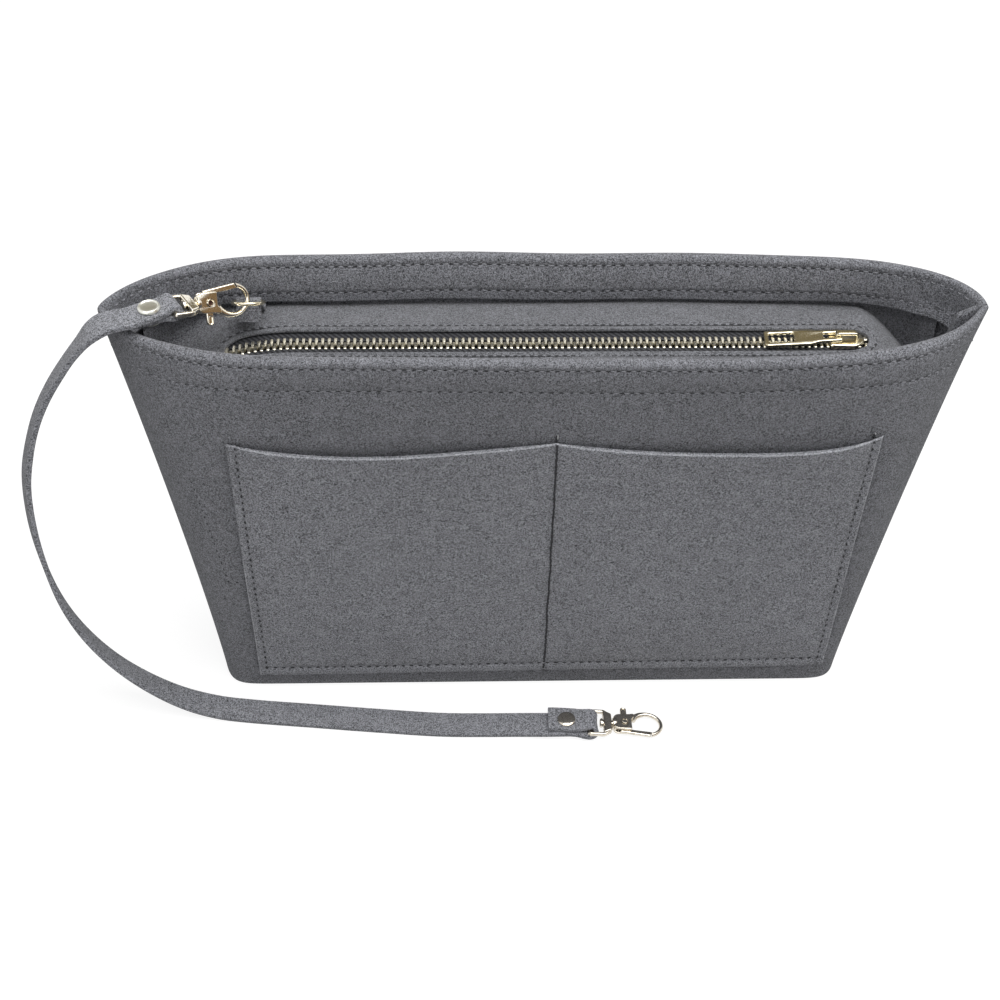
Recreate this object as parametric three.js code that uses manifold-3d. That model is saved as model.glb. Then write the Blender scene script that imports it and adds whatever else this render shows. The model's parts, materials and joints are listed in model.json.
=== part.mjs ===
// Purse organizer insert: a sewn felt body with a zipped top, an outside slip pocket and a clip-on key strap.
// Millimetres, +Z up, origin on the floor under the middle of the felt base, +X along the long side.
import * as THREE from 'three';
import { mergeVertices } from 'three/addons/utils/BufferGeometryUtils.js';
import Module from 'manifold-3d';

const wasm = await Module();
wasm.setup();

// Felt body
const mouth_length = 344;
const mouth_depth = 69;
const base_length = 286;
const base_depth = 52;
const body_height = 198;
const wall_felt = 2.4;
const base_felt = 2.4;
const mouth_squareness = 7.4;
const back_right_squareness = 4.7;
const back_right_rounding = 0.5;
const base_squareness = 40;
const squareness_fade = 0.6;
const base_end_rounding = 0.6;
const end_pinch = 1.9;
const pinch_rise = 0.85;
const sewn_gap = 0.3;
const seam_allowance = 7;

// Rim hem and the two flaps that hold the zipper
const hem_depth = 19.2;
const hem_overlap = 6;
const flap_felt = 1.8;
const flap_margin = 22;
const flap_edge = 6.5;
const flap_close_run = 7;
const slot_run_out = 10;
const flap_belly = 0.5;

// Front pocket panel, sewn on three sides and down its middle
const pocket_felt = 2.2;
const pocket_width = 254;
const pocket_shift = 4;
const pocket_bottom = 10;
const pocket_top = 159;
const pocket_scoop = 9.4;
const pocket_gape = 2.4;
const pocket_gape_reach = 3;

// Inner slip pocket on the inside of the front wall
const inner_pocket_felt = 1.8;
const inner_pocket_margin = 17;
const inner_pocket_right = 96;
const inner_pocket_bottom = 70;
const inner_pocket_top = 132;
const inner_pocket_gape = 2;

// Zipper
const zip_below_hem = 1.9;
const zip_offset = 1.6;
const zip_left_margin = 48;
const zip_right_margin = 46;
const tooth_pitch = 2.5;
const tooth_width = 1.35;
const tooth_height = 2.6;
const tooth_root = 3;
const spine_width = 0.7;
const slit_half = 0.7;
const tape_thickness = 0.8;
const tape_lap = 7;
const stop_length = 1.8;
const sag_run = 26;
const sag_depth = 5;
const closed_end_sag = 13;

// Zip slider and its pull
const slider_length = 14;
const slider_width = 9.4;
const slider_plate = 1.2;
const slider_lip = 0.8;
const slider_post_length = 3;
const bridge_length = 9.6;
const bridge_width = 2.6;
const bridge_wall = 1.1;
const pull_length = 29.8;
const pull_width = 9;
const pull_neck_width = 6.6;
const pull_thickness = 1.4;
const pull_eye_length = 6.6;
const pull_window_length = 10;
const pull_frame = 1.7;

// Ring tab and D-ring
const tab_felt = 1.6;
const tab_width = 9.6;
const tab_run = 7;
const tab_tail = 4.6;
const tab_drop = 6.2;
const ring_wire = 1.6;
const ring_depth = 8;
const ring_drop = 2;

// Key strap
const strap_width = 12;
const strap_fold_width = 10.4;
const fold_taper = 8;
const strap_felt = 2.2;
const strap_lean = 24;
const near_rivet_setback = 8.2;
const far_rivet_setback = 10.3;
const strap_tail = 8;
const rivet_cap_diameter = 8.7;
const rivet_cap_height = 1.5;
const rivet_back_diameter = 7.9;
const rivet_back_height = 1.3;
const rivet_post_diameter = 3.2;

// Swivel clasps
const eye_bar = 2.2;
const eye_arm = 1.4;
const eye_window = 5;
const eye_shoulder = 3.8;
const eye_web_width = 9.2;
const post_diameter = 2.6;
const post_head_diameter = 4.4;
const post_head_length = 1.2;
const clasp_body_length = 8.6;
const clasp_body_width = 8.2;
const clasp_barrel_width = 5.2;
const clasp_body_thickness = 4.4;
const clasp_root_wall = 1.7;
const pivot_setback = 5.4;
const pin_diameter = 2;
const pin_head_diameter = 2.9;
const pin_head_height = 0.4;
const hook_length = 15.2;
const hook_width = 13.2;
const hook_wire = 1.8;
const hook_thickness = 2.1;
const hook_tip_angle = 70;
const gate_plate = 1.6;
const gate_bar = 2.1;
const gate_hub = 2;
const thumb_width = 2.8;
const thumb_reach = 4.6;
const spring_leaf = 0.4;
const spring_length = 3.2;

// Clearances
const running_gap = 0.3;
const floor_gap = 0.15;

// Places and directions of the key strap, chosen by hand, along X from the mouth's left end
const mouth_left = -mouth_length / 2;
const near_eye_rise = 3.8;
const near_eye = new THREE.Vector3(mouth_left + 29.2, -5.6, body_height + near_eye_rise);
const near_rivet_way = new THREE.Vector3(-0.88, -0.47, 0.01).normalize();
const near_bar_way = new THREE.Vector3(0.3, -0.95, 0.1);
const near_hook_way = new THREE.Vector3(0.842, 0.4825, -0.242).normalize();
const near_hook_facing = new THREE.Vector3(0.62, -0.63, 0.47);
const far_eye = new THREE.Vector3(mouth_left + 195.9, -53, 4.6);
const far_rivet_way = new THREE.Vector3(-1, 0, -0.008).normalize();
const strap_route = [
  [6, -16.6, 202.8], [0, -17.8, 199.2], [-5.2, -18.2, 193], [-10.6, -18.6, 185.6],
  [-19.2, -19.4, 172.2], [-26.1, -20.5, 158.3], [-31, -22.4, 144], [-34.4, -24.2, 129.3],
  [-35.7, -26.4, 110.2], [-34.7, -28.7, 90.3], [-30.4, -31.5, 65.3], [-23.4, -33.4, 46.6],
  [-12.6, -35.2, 29.6], [1, -37, 16.2], [16, -38.8, 6.8], [31, -40.6, 2.4],
  [46, -42.2, 1.3], [72, -45, 1.3], [102, -48.2, 1.3], [130, -50.8, 1.3],
  [150, -51.3, 1.3], [164, -51.6, 1.6],
].map(([run, y, z]) => new THREE.Vector3(mouth_left + run, y, z));

// Shared sizes worked out from the driving dimensions
const fold_radius = wall_felt + sewn_gap / 2;
const slot_width = flap_felt + 2 * sewn_gap;
const hem_edge = body_height - hem_depth;
const slot_top = hem_edge + hem_overlap + sewn_gap;
const zip_height = hem_edge - zip_below_hem;
const flap_turn = hem_edge - tab_felt - 4 * sewn_gap;
const flap_rest = zip_height + tape_thickness / 2 + sewn_gap;
const zip_start = mouth_left + zip_left_margin;
const teeth_per_side = Math.round((-mouth_left - zip_right_margin - zip_start) / tooth_pitch);
const zip_end = zip_start + teeth_per_side * tooth_pitch;
const sag_start = zip_start + sag_run;
const tape_start = zip_start - stop_length - 2 * running_gap;
const tape_end = zip_end + stop_length + 2 * running_gap;
const tape_inner = tooth_root + running_gap;
const flap_end = mouth_length / 2 - flap_margin;

// Felt finishes and metals
const felt_look = { color: 0x6a6b6f, roughness: 0.95, metalness: 0 };
const tape_look = { color: 0x34353a, roughness: 0.85, metalness: 0 };
const gold_look = { color: 0xd9c79a, roughness: 0.25, metalness: 1 };
const nickel_look = { color: 0xb9b6ae, roughness: 0.22, metalness: 1 };
const steel_look = { color: 0x9a9a9c, roughness: 0.35, metalness: 1 };

const model = new THREE.Group();

// Adds one named piece to a group
function piece(name, geometry, look, parent = model) {
  const mesh = new THREE.Mesh(geometry, new THREE.MeshStandardMaterial(look));
  mesh.name = name;
  parent.add(mesh);
  return mesh;
}

// Indexed geometry from points and triangles, turned so that its faces point out
function closedGeometry(positions, triangles) {
  let volume = 0;
  const corner = (i) => new THREE.Vector3().fromArray(positions, 3 * i);
  for (const [a, b, c] of triangles) {
    volume += corner(a).dot(corner(b).cross(corner(c)));
  }
  const faces = volume < 0 ? triangles.map(([a, b, c]) => [a, c, b]) : triangles;
  const geometry = new THREE.BufferGeometry();
  geometry.setAttribute('position', new THREE.Float32BufferAttribute(positions, 3));
  geometry.setIndex(faces.flat());
  return geometry;
}

// Closed body through a row of rings with the same number of points, capped at both ends by the outline
function loft(rings, outline) {
  const count = outline.length;
  const last = (rings.length - 1) * count;
  const triangles = [];
  for (let ring = 0; ring < last; ring += count) {
    for (let i = 0; i < count; i++) {
      const j = (i + 1) % count;
      triangles.push([ring + i, ring + j, ring + count + j], [ring + i, ring + count + j, ring + count + i]);
    }
  }
  const turn = Math.sign(THREE.ShapeUtils.area(outline));
  for (const [a, b, c] of THREE.ShapeUtils.triangulateShape(outline, [])) {
    const same = Math.sign(THREE.ShapeUtils.area([outline[a], outline[b], outline[c]])) === turn;
    const [p, q] = same ? [b, c] : [c, b];
    triangles.push([q, p, a], [last + a, last + p, last + q]);
  }
  return closedGeometry(rings.flat().flatMap((point) => point.toArray()), triangles);
}

// Round wire along a flat closed path, with the path's plane given by its normal
function wireLoop(points, normal, radius, sides) {
  const count = points.length;
  const positions = [];
  const triangles = [];
  points.forEach((point, i) => {
    const tangent = points[(i + 1) % count].clone().sub(points[(i + count - 1) % count]).normalize();
    const out = tangent.cross(normal).normalize();
    for (let k = 0; k < sides; k++) {
      const angle = (2 * Math.PI * k) / sides;
      const rim = point.clone().addScaledVector(out, radius * Math.cos(angle));
      positions.push(...rim.addScaledVector(normal, radius * Math.sin(angle)).toArray());
      const [a, b] = [i * sides + k, i * sides + ((k + 1) % sides)];
      const [c, d] = [((i + 1) % count) * sides + k, ((i + 1) % count) * sides + ((k + 1) % sides)];
      triangles.push([a, b, d], [a, d, c]);
    }
  });
  return closedGeometry(positions, triangles);
}

// Solid for cutting and joining from a closed geometry
function solid(geometry) {
  const bare = new THREE.BufferGeometry();
  bare.setAttribute('position', geometry.getAttribute('position').clone());
  if (geometry.index) {
    bare.setIndex(geometry.index.clone());
  }
  const welded = mergeVertices(bare, 1e-4);
  return new wasm.Manifold(new wasm.Mesh({
    numProp: 3,
    vertProperties: new Float32Array(welded.getAttribute('position').array),
    triVerts: new Uint32Array(welded.index.array),
  }));
}

// Geometry of a cut or joined solid
function shaped(body) {
  const mesh = body.getMesh();
  const geometry = new THREE.BufferGeometry();
  const step = mesh.numProp;
  const positions = [];
  for (let i = 0; i < mesh.vertProperties.length; i += step) {
    positions.push(mesh.vertProperties[i], mesh.vertProperties[i + 1], mesh.vertProperties[i + 2]);
  }
  geometry.setAttribute('position', new THREE.Float32BufferAttribute(positions, 3));
  geometry.setIndex(Array.from(mesh.triVerts));
  return geometry;
}

// Block between two corners
function block(x0, x1, y0, y1, z0, z1) {
  const box = new THREE.BoxGeometry(x1 - x0, y1 - y0, z1 - z0);
  return solid(box.translate((x0 + x1) / 2, (y0 + y1) / 2, (z0 + z1) / 2));
}

// Round bar along X from x0 to x1 on the X axis
function barAlongX(diameter, x0, x1, sides = 16) {
  const bar = new THREE.CylinderGeometry(diameter / 2, diameter / 2, x1 - x0, sides);
  return solid(bar.rotateZ(Math.PI / 2).translate((x0 + x1) / 2, 0, 0));
}

// Round bar along Z from z0 to z1 at a point of the XY plane
function barAlongZ(diameter, x, y, z0, z1, sides = 16) {
  const bar = new THREE.CylinderGeometry(diameter / 2, diameter / 2, z1 - z0, sides);
  return solid(bar.rotateX(Math.PI / 2).translate(x, y, (z0 + z1) / 2));
}

// Plate of a flat outline, its thickness centred on a height
function plate(points, thickness, z = 0) {
  const shape = new THREE.Shape(points.map(([x, y]) => new THREE.Vector2(x, y)));
  const geometry = new THREE.ExtrudeGeometry(shape, { depth: thickness, bevelEnabled: false });
  return solid(geometry.translate(0, 0, z - thickness / 2));
}

// Sizes of the felt body at a height
function level(z) {
  const rise = z / body_height;
  const mix = THREE.MathUtils.lerp;
  const mouth_ease = Math.hypot(1, mouth_length / (mouth_depth * mouth_squareness));
  const pinch = end_pinch * Math.sin(Math.PI * Math.pow(rise, pinch_rise));
  return {
    half_length: mix(base_length, mouth_length, rise) / 2 - pinch,
    half_depth: mix(base_depth, mouth_depth, rise) / 2,
    squareness: mix(base_squareness, mouth_squareness, Math.pow(rise, squareness_fade)),
    blunt_squareness: mix(base_squareness, back_right_squareness, Math.pow(rise, squareness_fade)),
    rounding: mix(base_end_rounding, 1, rise),
    blunt_rounding: mix(base_end_rounding, back_right_rounding, rise),
    end_ease: mix(1, mouth_ease, rise),
  };
}

// Distance of a wall from the middle plane, at a share of the half length and an inset from its outside
function reach(side, at, share, inset) {
  const blunt = side > 0 && share > 0;
  const squareness = blunt ? at.blunt_squareness : at.squareness;
  const rounding = blunt ? at.blunt_rounding : at.rounding;
  const fall = Math.pow(1 - Math.pow(Math.abs(share), squareness), rounding);
  return sewn_gap / 2 + (at.half_depth - inset - sewn_gap / 2) * fall;
}

// Point of the front (side -1) or back (side 1) wall
function wallPoint(side, share, z, inset) {
  const at = level(z);
  const x = share * (at.half_length - at.end_ease * inset);
  return new THREE.Vector3(x, side * reach(side, at, share, inset), z);
}

// Distance of a wall from the middle plane at a given x
function wallReach(side, x, z, inset) {
  const at = level(z);
  const share = THREE.MathUtils.clamp(x / (at.half_length - at.end_ease * inset), -1, 1);
  return reach(side, at, share, inset);
}

// Shares of the half length from end to end, closer together near the ends
function endToEnd(half_count, crowding) {
  const shares = [];
  for (let k = -half_count; k <= half_count; k++) {
    shares.push(Math.sign(k) * (1 - Math.pow(1 - Math.abs(k) / half_count, crowding)));
  }
  return shares;
}

const wall_shares = endToEnd(22, 2);

// Width of the slot between wall and hem: the flap's room in the middle, closed towards the ends
function hemSlot(x) {
  const past = (Math.abs(x) - flap_end) / slot_run_out - 0.5;
  return THREE.MathUtils.lerp(slot_width, sewn_gap, THREE.MathUtils.smoothstep(past, 0, 1));
}

// Section of a wall as inset and height: up the outside, over the fold, down the hem and down the inside
function wallSection(slot) {
  const bands = 5;
  const fold_steps = 6;
  const top = body_height - fold_radius;
  const levels = Array.from({ length: bands + 1 }, (_, i) => (hem_edge * i) / bands);
  levels.push(slot_top, top);
  const section = levels.map((z) => [0, z]);
  for (let i = 1; i <= fold_steps; i++) {
    const angle = Math.PI * (1 - i / fold_steps);
    section.push([fold_radius * (1 + Math.cos(angle)), top + fold_radius * Math.sin(angle)]);
  }
  section.push([2 * wall_felt + slot, slot_top], [2 * wall_felt + slot, hem_edge]);
  section.push([wall_felt + slot, hem_edge], [wall_felt + slot, slot_top], [wall_felt + sewn_gap, top]);
  section.push(...levels.toReversed().map((z) => [wall_felt, z]));
  return section;
}

// Sewn-in edge of a wall at one end, which stands inside the side seam
function seamEdge(side, end) {
  const levels = 7;
  const z0 = base_felt + sewn_gap;
  const z1 = hem_edge - sewn_gap;
  const rings = [];
  for (let i = 0; i < levels; i++) {
    const z = THREE.MathUtils.lerp(z0, z1, i / (levels - 1));
    const at = level(z);
    const root = at.half_length - at.end_ease * wall_felt * 0.6;
    const tip = at.half_length - at.end_ease * wall_felt - seam_allowance;
    const [near, far] = [side * sewn_gap / 2, side * (sewn_gap / 2 + wall_felt)];
    rings.push([[root, near], [tip, near], [tip, far], [root, far]]
      .map(([x, y]) => new THREE.Vector3(end * x, y, z)));
  }
  return loft(rings, rings[0].map((point) => new THREE.Vector2(point.x, point.y)));
}

// Front or back wall with its turned hem and its seam edges
function wall(side) {
  const rings = wall_shares.map((share) => {
    const section = wallSection(hemSlot(share * level(hem_edge).half_length));
    return section.map(([inset, z]) => wallPoint(side, share, z, inset));
  });
  const outline = wallSection(sewn_gap).map(([inset, z]) => new THREE.Vector2(inset, z));
  const sheet = solid(loft(rings, outline));
  return shaped(sheet.add(solid(seamEdge(side, 1))).add(solid(seamEdge(side, -1))));
}

piece('front_wall', wall(-1), felt_look);
piece('back_wall', wall(1), felt_look);

// Base panel inside the foot of the walls
function basePanel() {
  const shares = endToEnd(12, 2.1).filter((share) => Math.abs(share) > 0.5);
  const rings = [0, base_felt].map((z) => [
    ...shares.map((share) => wallPoint(-1, share, z, wall_felt + sewn_gap)),
    ...shares.toReversed().map((share) => wallPoint(1, share, z, wall_felt + sewn_gap)),
  ]);
  return loft(rings, rings[0].map((point) => new THREE.Vector2(point.x, point.y)));
}

piece('base_panel', basePanel(), felt_look);

// Sheet that follows the front wall: each column runs up its near face and down its far face
function frontSheet({ columns, rows, x_at, z_at, near, thickness }) {
  const rings = [];
  for (let i = 0; i <= columns; i++) {
    const u = i / columns;
    const faces = [0, thickness].map((extra) => {
      const face = [];
      for (let j = 0; j <= rows; j++) {
        const v = j / rows;
        const z = z_at(u, v);
        const x = x_at(u, z);
        face.push(new THREE.Vector3(x, near(u, v, x, z) - extra, z));
      }
      return face;
    });
    rings.push([...faces[0], ...faces[1].toReversed()]);
  }
  return loft(rings, rings[0].map((point) => new THREE.Vector2(point.y, point.z)));
}

// How far a pocket mouth curves, from 0 at its sewn sides to 1 in its middle
function mouthCurve(share) {
  return Math.sin(Math.PI * share);
}

piece('front_pocket_panel', frontSheet({
  columns: 40,
  rows: 6,
  thickness: pocket_felt,
  x_at: (u) => pocket_shift + (u - 0.5) * pocket_width,
  z_at: (u, v) => {
    const top = pocket_top - pocket_scoop * mouthCurve((2 * u) % 1);
    return THREE.MathUtils.lerp(pocket_bottom, top, v);
  },
  near: (u, v, x, z) => {
    const open = pocket_gape * mouthCurve((2 * u) % 1) * Math.pow(v, pocket_gape_reach);
    return -wallReach(-1, x, z, 0) - sewn_gap - open;
  },
}), felt_look);

piece('inner_pocket_panel', frontSheet({
  columns: 16,
  rows: 4,
  thickness: inner_pocket_felt,
  x_at: (u, z) => THREE.MathUtils.lerp(inner_pocket_margin - level(z).half_length, inner_pocket_right, u),
  z_at: (u, v) => THREE.MathUtils.lerp(inner_pocket_bottom, inner_pocket_top, v),
  near: (u, v, x, z) => {
    const open = inner_pocket_gape * mouthCurve(u) * v * v;
    return -wallReach(-1, x, z, wall_felt) + 2 * sewn_gap + inner_pocket_felt + open;
  },
}), felt_look);

// Drop of the zipper's free left end, and of the flaps past its closed end
function sag(x) {
  const past = Math.max(0, sag_start - x) / (sag_start - tape_start);
  const past_closed = Math.max(0, x - tape_end) / (flap_end - tape_end);
  return sag_depth * past * past + closed_end_sag * past_closed * past_closed;
}

// Places from x0 up to but without x1
function placesBetween(x0, x1, steps) {
  return Array.from({ length: steps }, (_, i) => THREE.MathUtils.lerp(x0, x1, i / steps));
}

// Distance of a flap's edge from the zipper's line: the flaps close in a half oval past both ends of the tape
function flapEdge(x) {
  const past = Math.max(tape_start - x, x - tape_end, 0) / flap_close_run;
  const open = Math.sqrt(Math.max(0, 1 - past * past));
  return THREE.MathUtils.lerp(sewn_gap / 2, flap_edge, open);
}

// Height of a flap's underside between its turn at the wall and its edge at the zipper
function flapUnderside(side, x, y) {
  const edge = zip_offset + side * flapEdge(x);
  const turn = side * wallReach(side, x, flap_turn - flap_felt, wall_felt + sewn_gap);
  const share = (y - edge) / (turn - edge);
  const straight = THREE.MathUtils.lerp(flap_rest - sag(x), flap_turn - flap_felt, share);
  return straight + flap_belly * mouthCurve(share);
}

// Section of a flap: a tongue up in the slot of the hem, then a run to the zipper
function flapSection(side, x) {
  const face = (z, inset) => side * wallReach(side, x, z, inset);
  const edge = zip_offset + side * flapEdge(x);
  const lapped = edge + side * tape_lap;
  const tongue = hem_edge + hem_overlap;
  const [outer, inner] = [wall_felt + sewn_gap, wall_felt + sewn_gap + flap_felt];
  return [
    [face(tongue, outer), tongue],
    [face(tongue, inner), tongue],
    [face(flap_turn, inner), flap_turn],
    [lapped, flapUnderside(side, x, lapped) + flap_felt],
    [edge, flap_rest + flap_felt - sag(x)],
    [edge, flap_rest - sag(x)],
    [lapped, flapUnderside(side, x, lapped)],
    [face(flap_turn - flap_felt, outer), flap_turn - flap_felt],
  ];
}

// Body from sections in the YZ plane at a row of places along X
function alongX(places, section) {
  const rings = places.map((x) => section(x).map(([y, z]) => new THREE.Vector3(x, y, z)));
  return loft(rings, section(places[0]).map(([y, z]) => new THREE.Vector2(y, z)));
}

// Places round one closed end of the slot between the flaps, from its start outwards
function closingPlaces(start, way) {
  const steps = 6;
  return Array.from({ length: steps + 1 },
    (_, i) => start + way * flap_close_run * Math.sin((Math.PI * i) / (2 * steps)));
}

// Places of the flaps: the wall's own stations, with more where the zipper's end drops and the slot closes
const end_steps = 5;
const dropped_steps = 9;
const flat_places = wall_shares.map((share) => share * level(hem_edge).half_length)
  .filter((x) => x > sag_start && x < tape_end);
const dropped_places = placesBetween(tape_start, sag_start, dropped_steps);
const flap_places = [
  ...placesBetween(-flap_end, tape_start - flap_close_run, end_steps),
  ...closingPlaces(tape_start, -1).toReversed(),
  ...dropped_places.slice(1),
  sag_start,
  ...flat_places,
  ...closingPlaces(tape_end, 1),
  ...placesBetween(flap_end, tape_end + flap_close_run, end_steps).toReversed(),
];
piece('zip_flap_front', alongX(flap_places, (x) => flapSection(-1, x)), felt_look);

// Zipper tape on one side: beside the teeth, then up against the flap's underside
function tapeSection(side, x) {
  const top = zip_height + tape_thickness / 2 - sag(x);
  const [inner, bend, outer] = [tape_inner, flap_edge, flap_edge + tape_lap]
    .map((distance) => zip_offset + side * distance);
  const lapped = flapUnderside(side, x, outer) - sewn_gap;
  return [
    [inner, top], [bend, top], [outer, lapped],
    [outer, lapped - tape_thickness], [bend, top - tape_thickness], [inner, top - tape_thickness],
  ];
}

// Row of teeth on one side, joined along the tape's edge, and dropped with the zipper's end
function teethRow(side) {
  const shape = new THREE.Shape();
  const lead = side > 0 ? tooth_pitch / 2 : 0;
  const gum = tooth_root - spine_width;
  shape.moveTo(zip_start, tooth_root);
  for (let i = 0; i < teeth_per_side; i++) {
    const x = zip_start + i * tooth_pitch + lead / 2;
    shape.lineTo(x, gum);
    shape.lineTo(x, slit_half);
    shape.lineTo(x + tooth_width, slit_half);
    shape.lineTo(x + tooth_width, gum);
  }
  shape.lineTo(zip_end, gum);
  shape.lineTo(zip_end, tooth_root);
  for (let x = sag_start; x > zip_start; x -= tooth_pitch) {
    shape.lineTo(x, tooth_root);
  }
  const geometry = new THREE.ExtrudeGeometry(shape, { depth: tooth_height, bevelEnabled: false });
  geometry.translate(0, 0, -tooth_height / 2);
  const row = shaped(solid(side > 0 ? geometry : geometry.rotateX(Math.PI)));
  const position = row.getAttribute('position');
  for (let i = 0; i < position.count; i++) {
    const x = position.getX(i);
    position.setXYZ(i, x, position.getY(i) + zip_offset, position.getZ(i) + zip_height - sag(x));
  }
  return row;
}

for (const [side, name] of [[-1, 'front'], [1, 'back']]) {
  const tape_places = [...dropped_places, sag_start, ...flat_places, tape_end];
  piece(`zip_tape_${name}`, alongX(tape_places, (x) => tapeSection(side, x)), tape_look);
  piece(`zip_teeth_${name}`, teethRow(side), gold_look);
}

// Stops past both ends of the teeth: one across both rows at the left, one on each row at the right
function zipStop(x0, y0, y1) {
  const half = tooth_height / 2;
  const drop = sag(x0 + stop_length / 2);
  return shaped(block(x0, x0 + stop_length, zip_offset + y0, zip_offset + y1,
    zip_height - half - drop, zip_height + half - drop));
}

piece('zip_bottom_stop', zipStop(zip_start - running_gap - stop_length, -tooth_root, tooth_root), gold_look);
piece('zip_top_stop_front', zipStop(zip_end + running_gap, -tooth_root, -slit_half), gold_look);
piece('zip_top_stop_back', zipStop(zip_end + running_gap, slit_half, tooth_root), gold_look);

// Slider: two plates with turned lips, joined by a thin post in the slit, and the pull's bridge on top
const slider_inside = tooth_height / 2 + running_gap;
const slider_top = slider_inside + slider_plate;
const lip_end = tape_thickness / 2 + running_gap;
const lip_inside = tooth_root + running_gap;
const hinge_rise = 2 * running_gap + pull_thickness / 2;
const bridge_inside = hinge_rise + pull_thickness / 2 + running_gap;
const pull_drop = slider_top + hinge_rise - pull_thickness / 2 - slider_inside;

function zipSlider() {
  const half = slider_length / 2;
  const [front, tail] = [slider_width / 2, lip_inside + slider_lip];
  const corner = slider_length / 5;
  const outline = [
    [-half, -tail], [half - corner, -front], [half, -front + corner],
    [half, front - corner], [half - corner, front], [-half, tail],
  ];
  const sole_rise = slider_inside + slider_plate / 2;
  let body = plate(outline, slider_plate, sole_rise).add(plate(outline, slider_plate, -sole_rise));
  const lip_length = slider_length - corner - running_gap;
  for (const side of [-1, 1]) {
    const [inner, outer] = [side * lip_inside, side * tail];
    for (const turn of [-1, 1]) {
      const lip = block(-half, lip_length - half, Math.min(inner, outer), Math.max(inner, outer),
        Math.min(turn * lip_end, turn * slider_top), Math.max(turn * lip_end, turn * slider_top));
      body = body.add(lip);
    }
  }
  const post_half = slit_half - running_gap;
  body = body.add(block(half - running_gap - slider_post_length, half - running_gap,
    -post_half, post_half, -sole_rise, sole_rise));
  const [bridge_half, roof] = [bridge_length / 2, slider_top + bridge_inside + bridge_wall];
  const arch = block(-bridge_half, bridge_half, -bridge_width / 2, bridge_width / 2,
    slider_top - slider_plate / 2, roof);
  const arch_room = block(-bridge_half + bridge_wall, bridge_half - bridge_wall, -bridge_width, bridge_width,
    slider_top, slider_top + bridge_inside);
  return shaped(body.add(arch.subtract(arch_room)));
}

const slider_x = zip_end - slider_length / 2;
const slider_group = new THREE.Group();
slider_group.position.set(slider_x, zip_offset, zip_height);
model.add(slider_group);
piece('zip_slider', zipSlider(), gold_look, slider_group);

// Pull: a bar under the bridge, two legs beside it and a plate with a window, lying to the left
function zipPull() {
  const bar = pull_thickness / 2;
  const [neck, half] = [pull_neck_width / 2, pull_width / 2];
  const shoulder = pull_eye_length + pull_frame;
  const outline = [
    [bar, -neck], [bar, neck], [-shoulder, neck], [-shoulder - neck, half],
    [-pull_length, half], [-pull_length, -half], [-shoulder - neck, -half], [-shoulder, -neck],
  ];
  const eye_half = bridge_width / 2 + running_gap;
  const window_half = half - pull_frame;
  const body = plate(outline, pull_thickness)
    .subtract(block(-pull_eye_length, -bar, -eye_half, eye_half, -pull_thickness, pull_thickness))
    .subtract(block(-pull_length + pull_frame, -pull_length + pull_frame + pull_window_length,
      -window_half, window_half, -pull_thickness, pull_thickness));
  return shaped(body);
}

const pull_group = new THREE.Group();
pull_group.position.set(-bridge_length / 2 + bridge_wall + running_gap + pull_thickness / 2, 0,
  slider_top + hinge_rise);
pull_group.rotation.y = -Math.asin(pull_drop / pull_length);
slider_group.add(pull_group);
piece('zip_pull', zipPull(), gold_look, pull_group);

// Swivel clasp, in its own frame: X from the eye's bar to the hook's end, Y to the gate, Z across its flat
const eye_room = strap_fold_width + 2 * running_gap;
const shoulder_start = eye_bar / 2 + eye_window;
const shoulder_end = shoulder_start + eye_shoulder;
const body_start = shoulder_end + running_gap;
const body_end = body_start + clasp_body_length;
const clasp_length = body_end + hook_length - hook_wire / 2;
const pivot_x = body_start + pivot_setback;
const hook_centre = clasp_length - hook_length / 2;
const bore_diameter = pin_diameter + 2 * running_gap;
const slot_room = gate_plate + 2 * running_gap;

function claspEye() {
  const [wide, web] = [eye_room / 2, eye_web_width / 2];
  const outer = wide + eye_arm;
  const half_bar = eye_bar / 2;
  const fold_room = eye_bar / 2 + strap_felt + 2 * running_gap;
  const outline = [
    [0, -outer], [shoulder_start, -outer], [shoulder_end, -web],
    [shoulder_end, web], [shoulder_start, outer], [0, outer],
  ];
  const bar = solid(new THREE.CylinderGeometry(half_bar, half_bar, 2 * outer, 12));
  const room = block(-eye_bar, shoulder_start, -wide, wide, -2 * eye_bar, 2 * eye_bar);
  const frame = plate(outline, eye_bar * 1.6).subtract(room);
  const above = block(-eye_bar, fold_room, -2 * wide, 2 * wide, half_bar, eye_bar);
  const under = block(-eye_bar, fold_room, -2 * wide, 2 * wide, -eye_bar, -half_bar);
  const bore = barAlongX(post_diameter + 2 * running_gap, shoulder_start - 1, shoulder_end + 1);
  return shaped(frame.subtract(above).subtract(under).subtract(bore).add(bar));
}

// Point of the hook's oval at an angle from its end, on its outside or further in
function ovalPoint(angle, inset) {
  const turn = THREE.MathUtils.degToRad(angle);
  return [
    hook_centre + (hook_length / 2 - inset) * Math.cos(turn),
    (hook_width / 2 - inset) * Math.sin(turn),
  ];
}

// Swing of the gate's end about its pin, just inside the hook's tip
const [tip_x, tip_y] = ovalPoint(hook_tip_angle, hook_wire / 2);
const gate_swing = Math.hypot(tip_x - pivot_x, tip_y) - running_gap;

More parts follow.
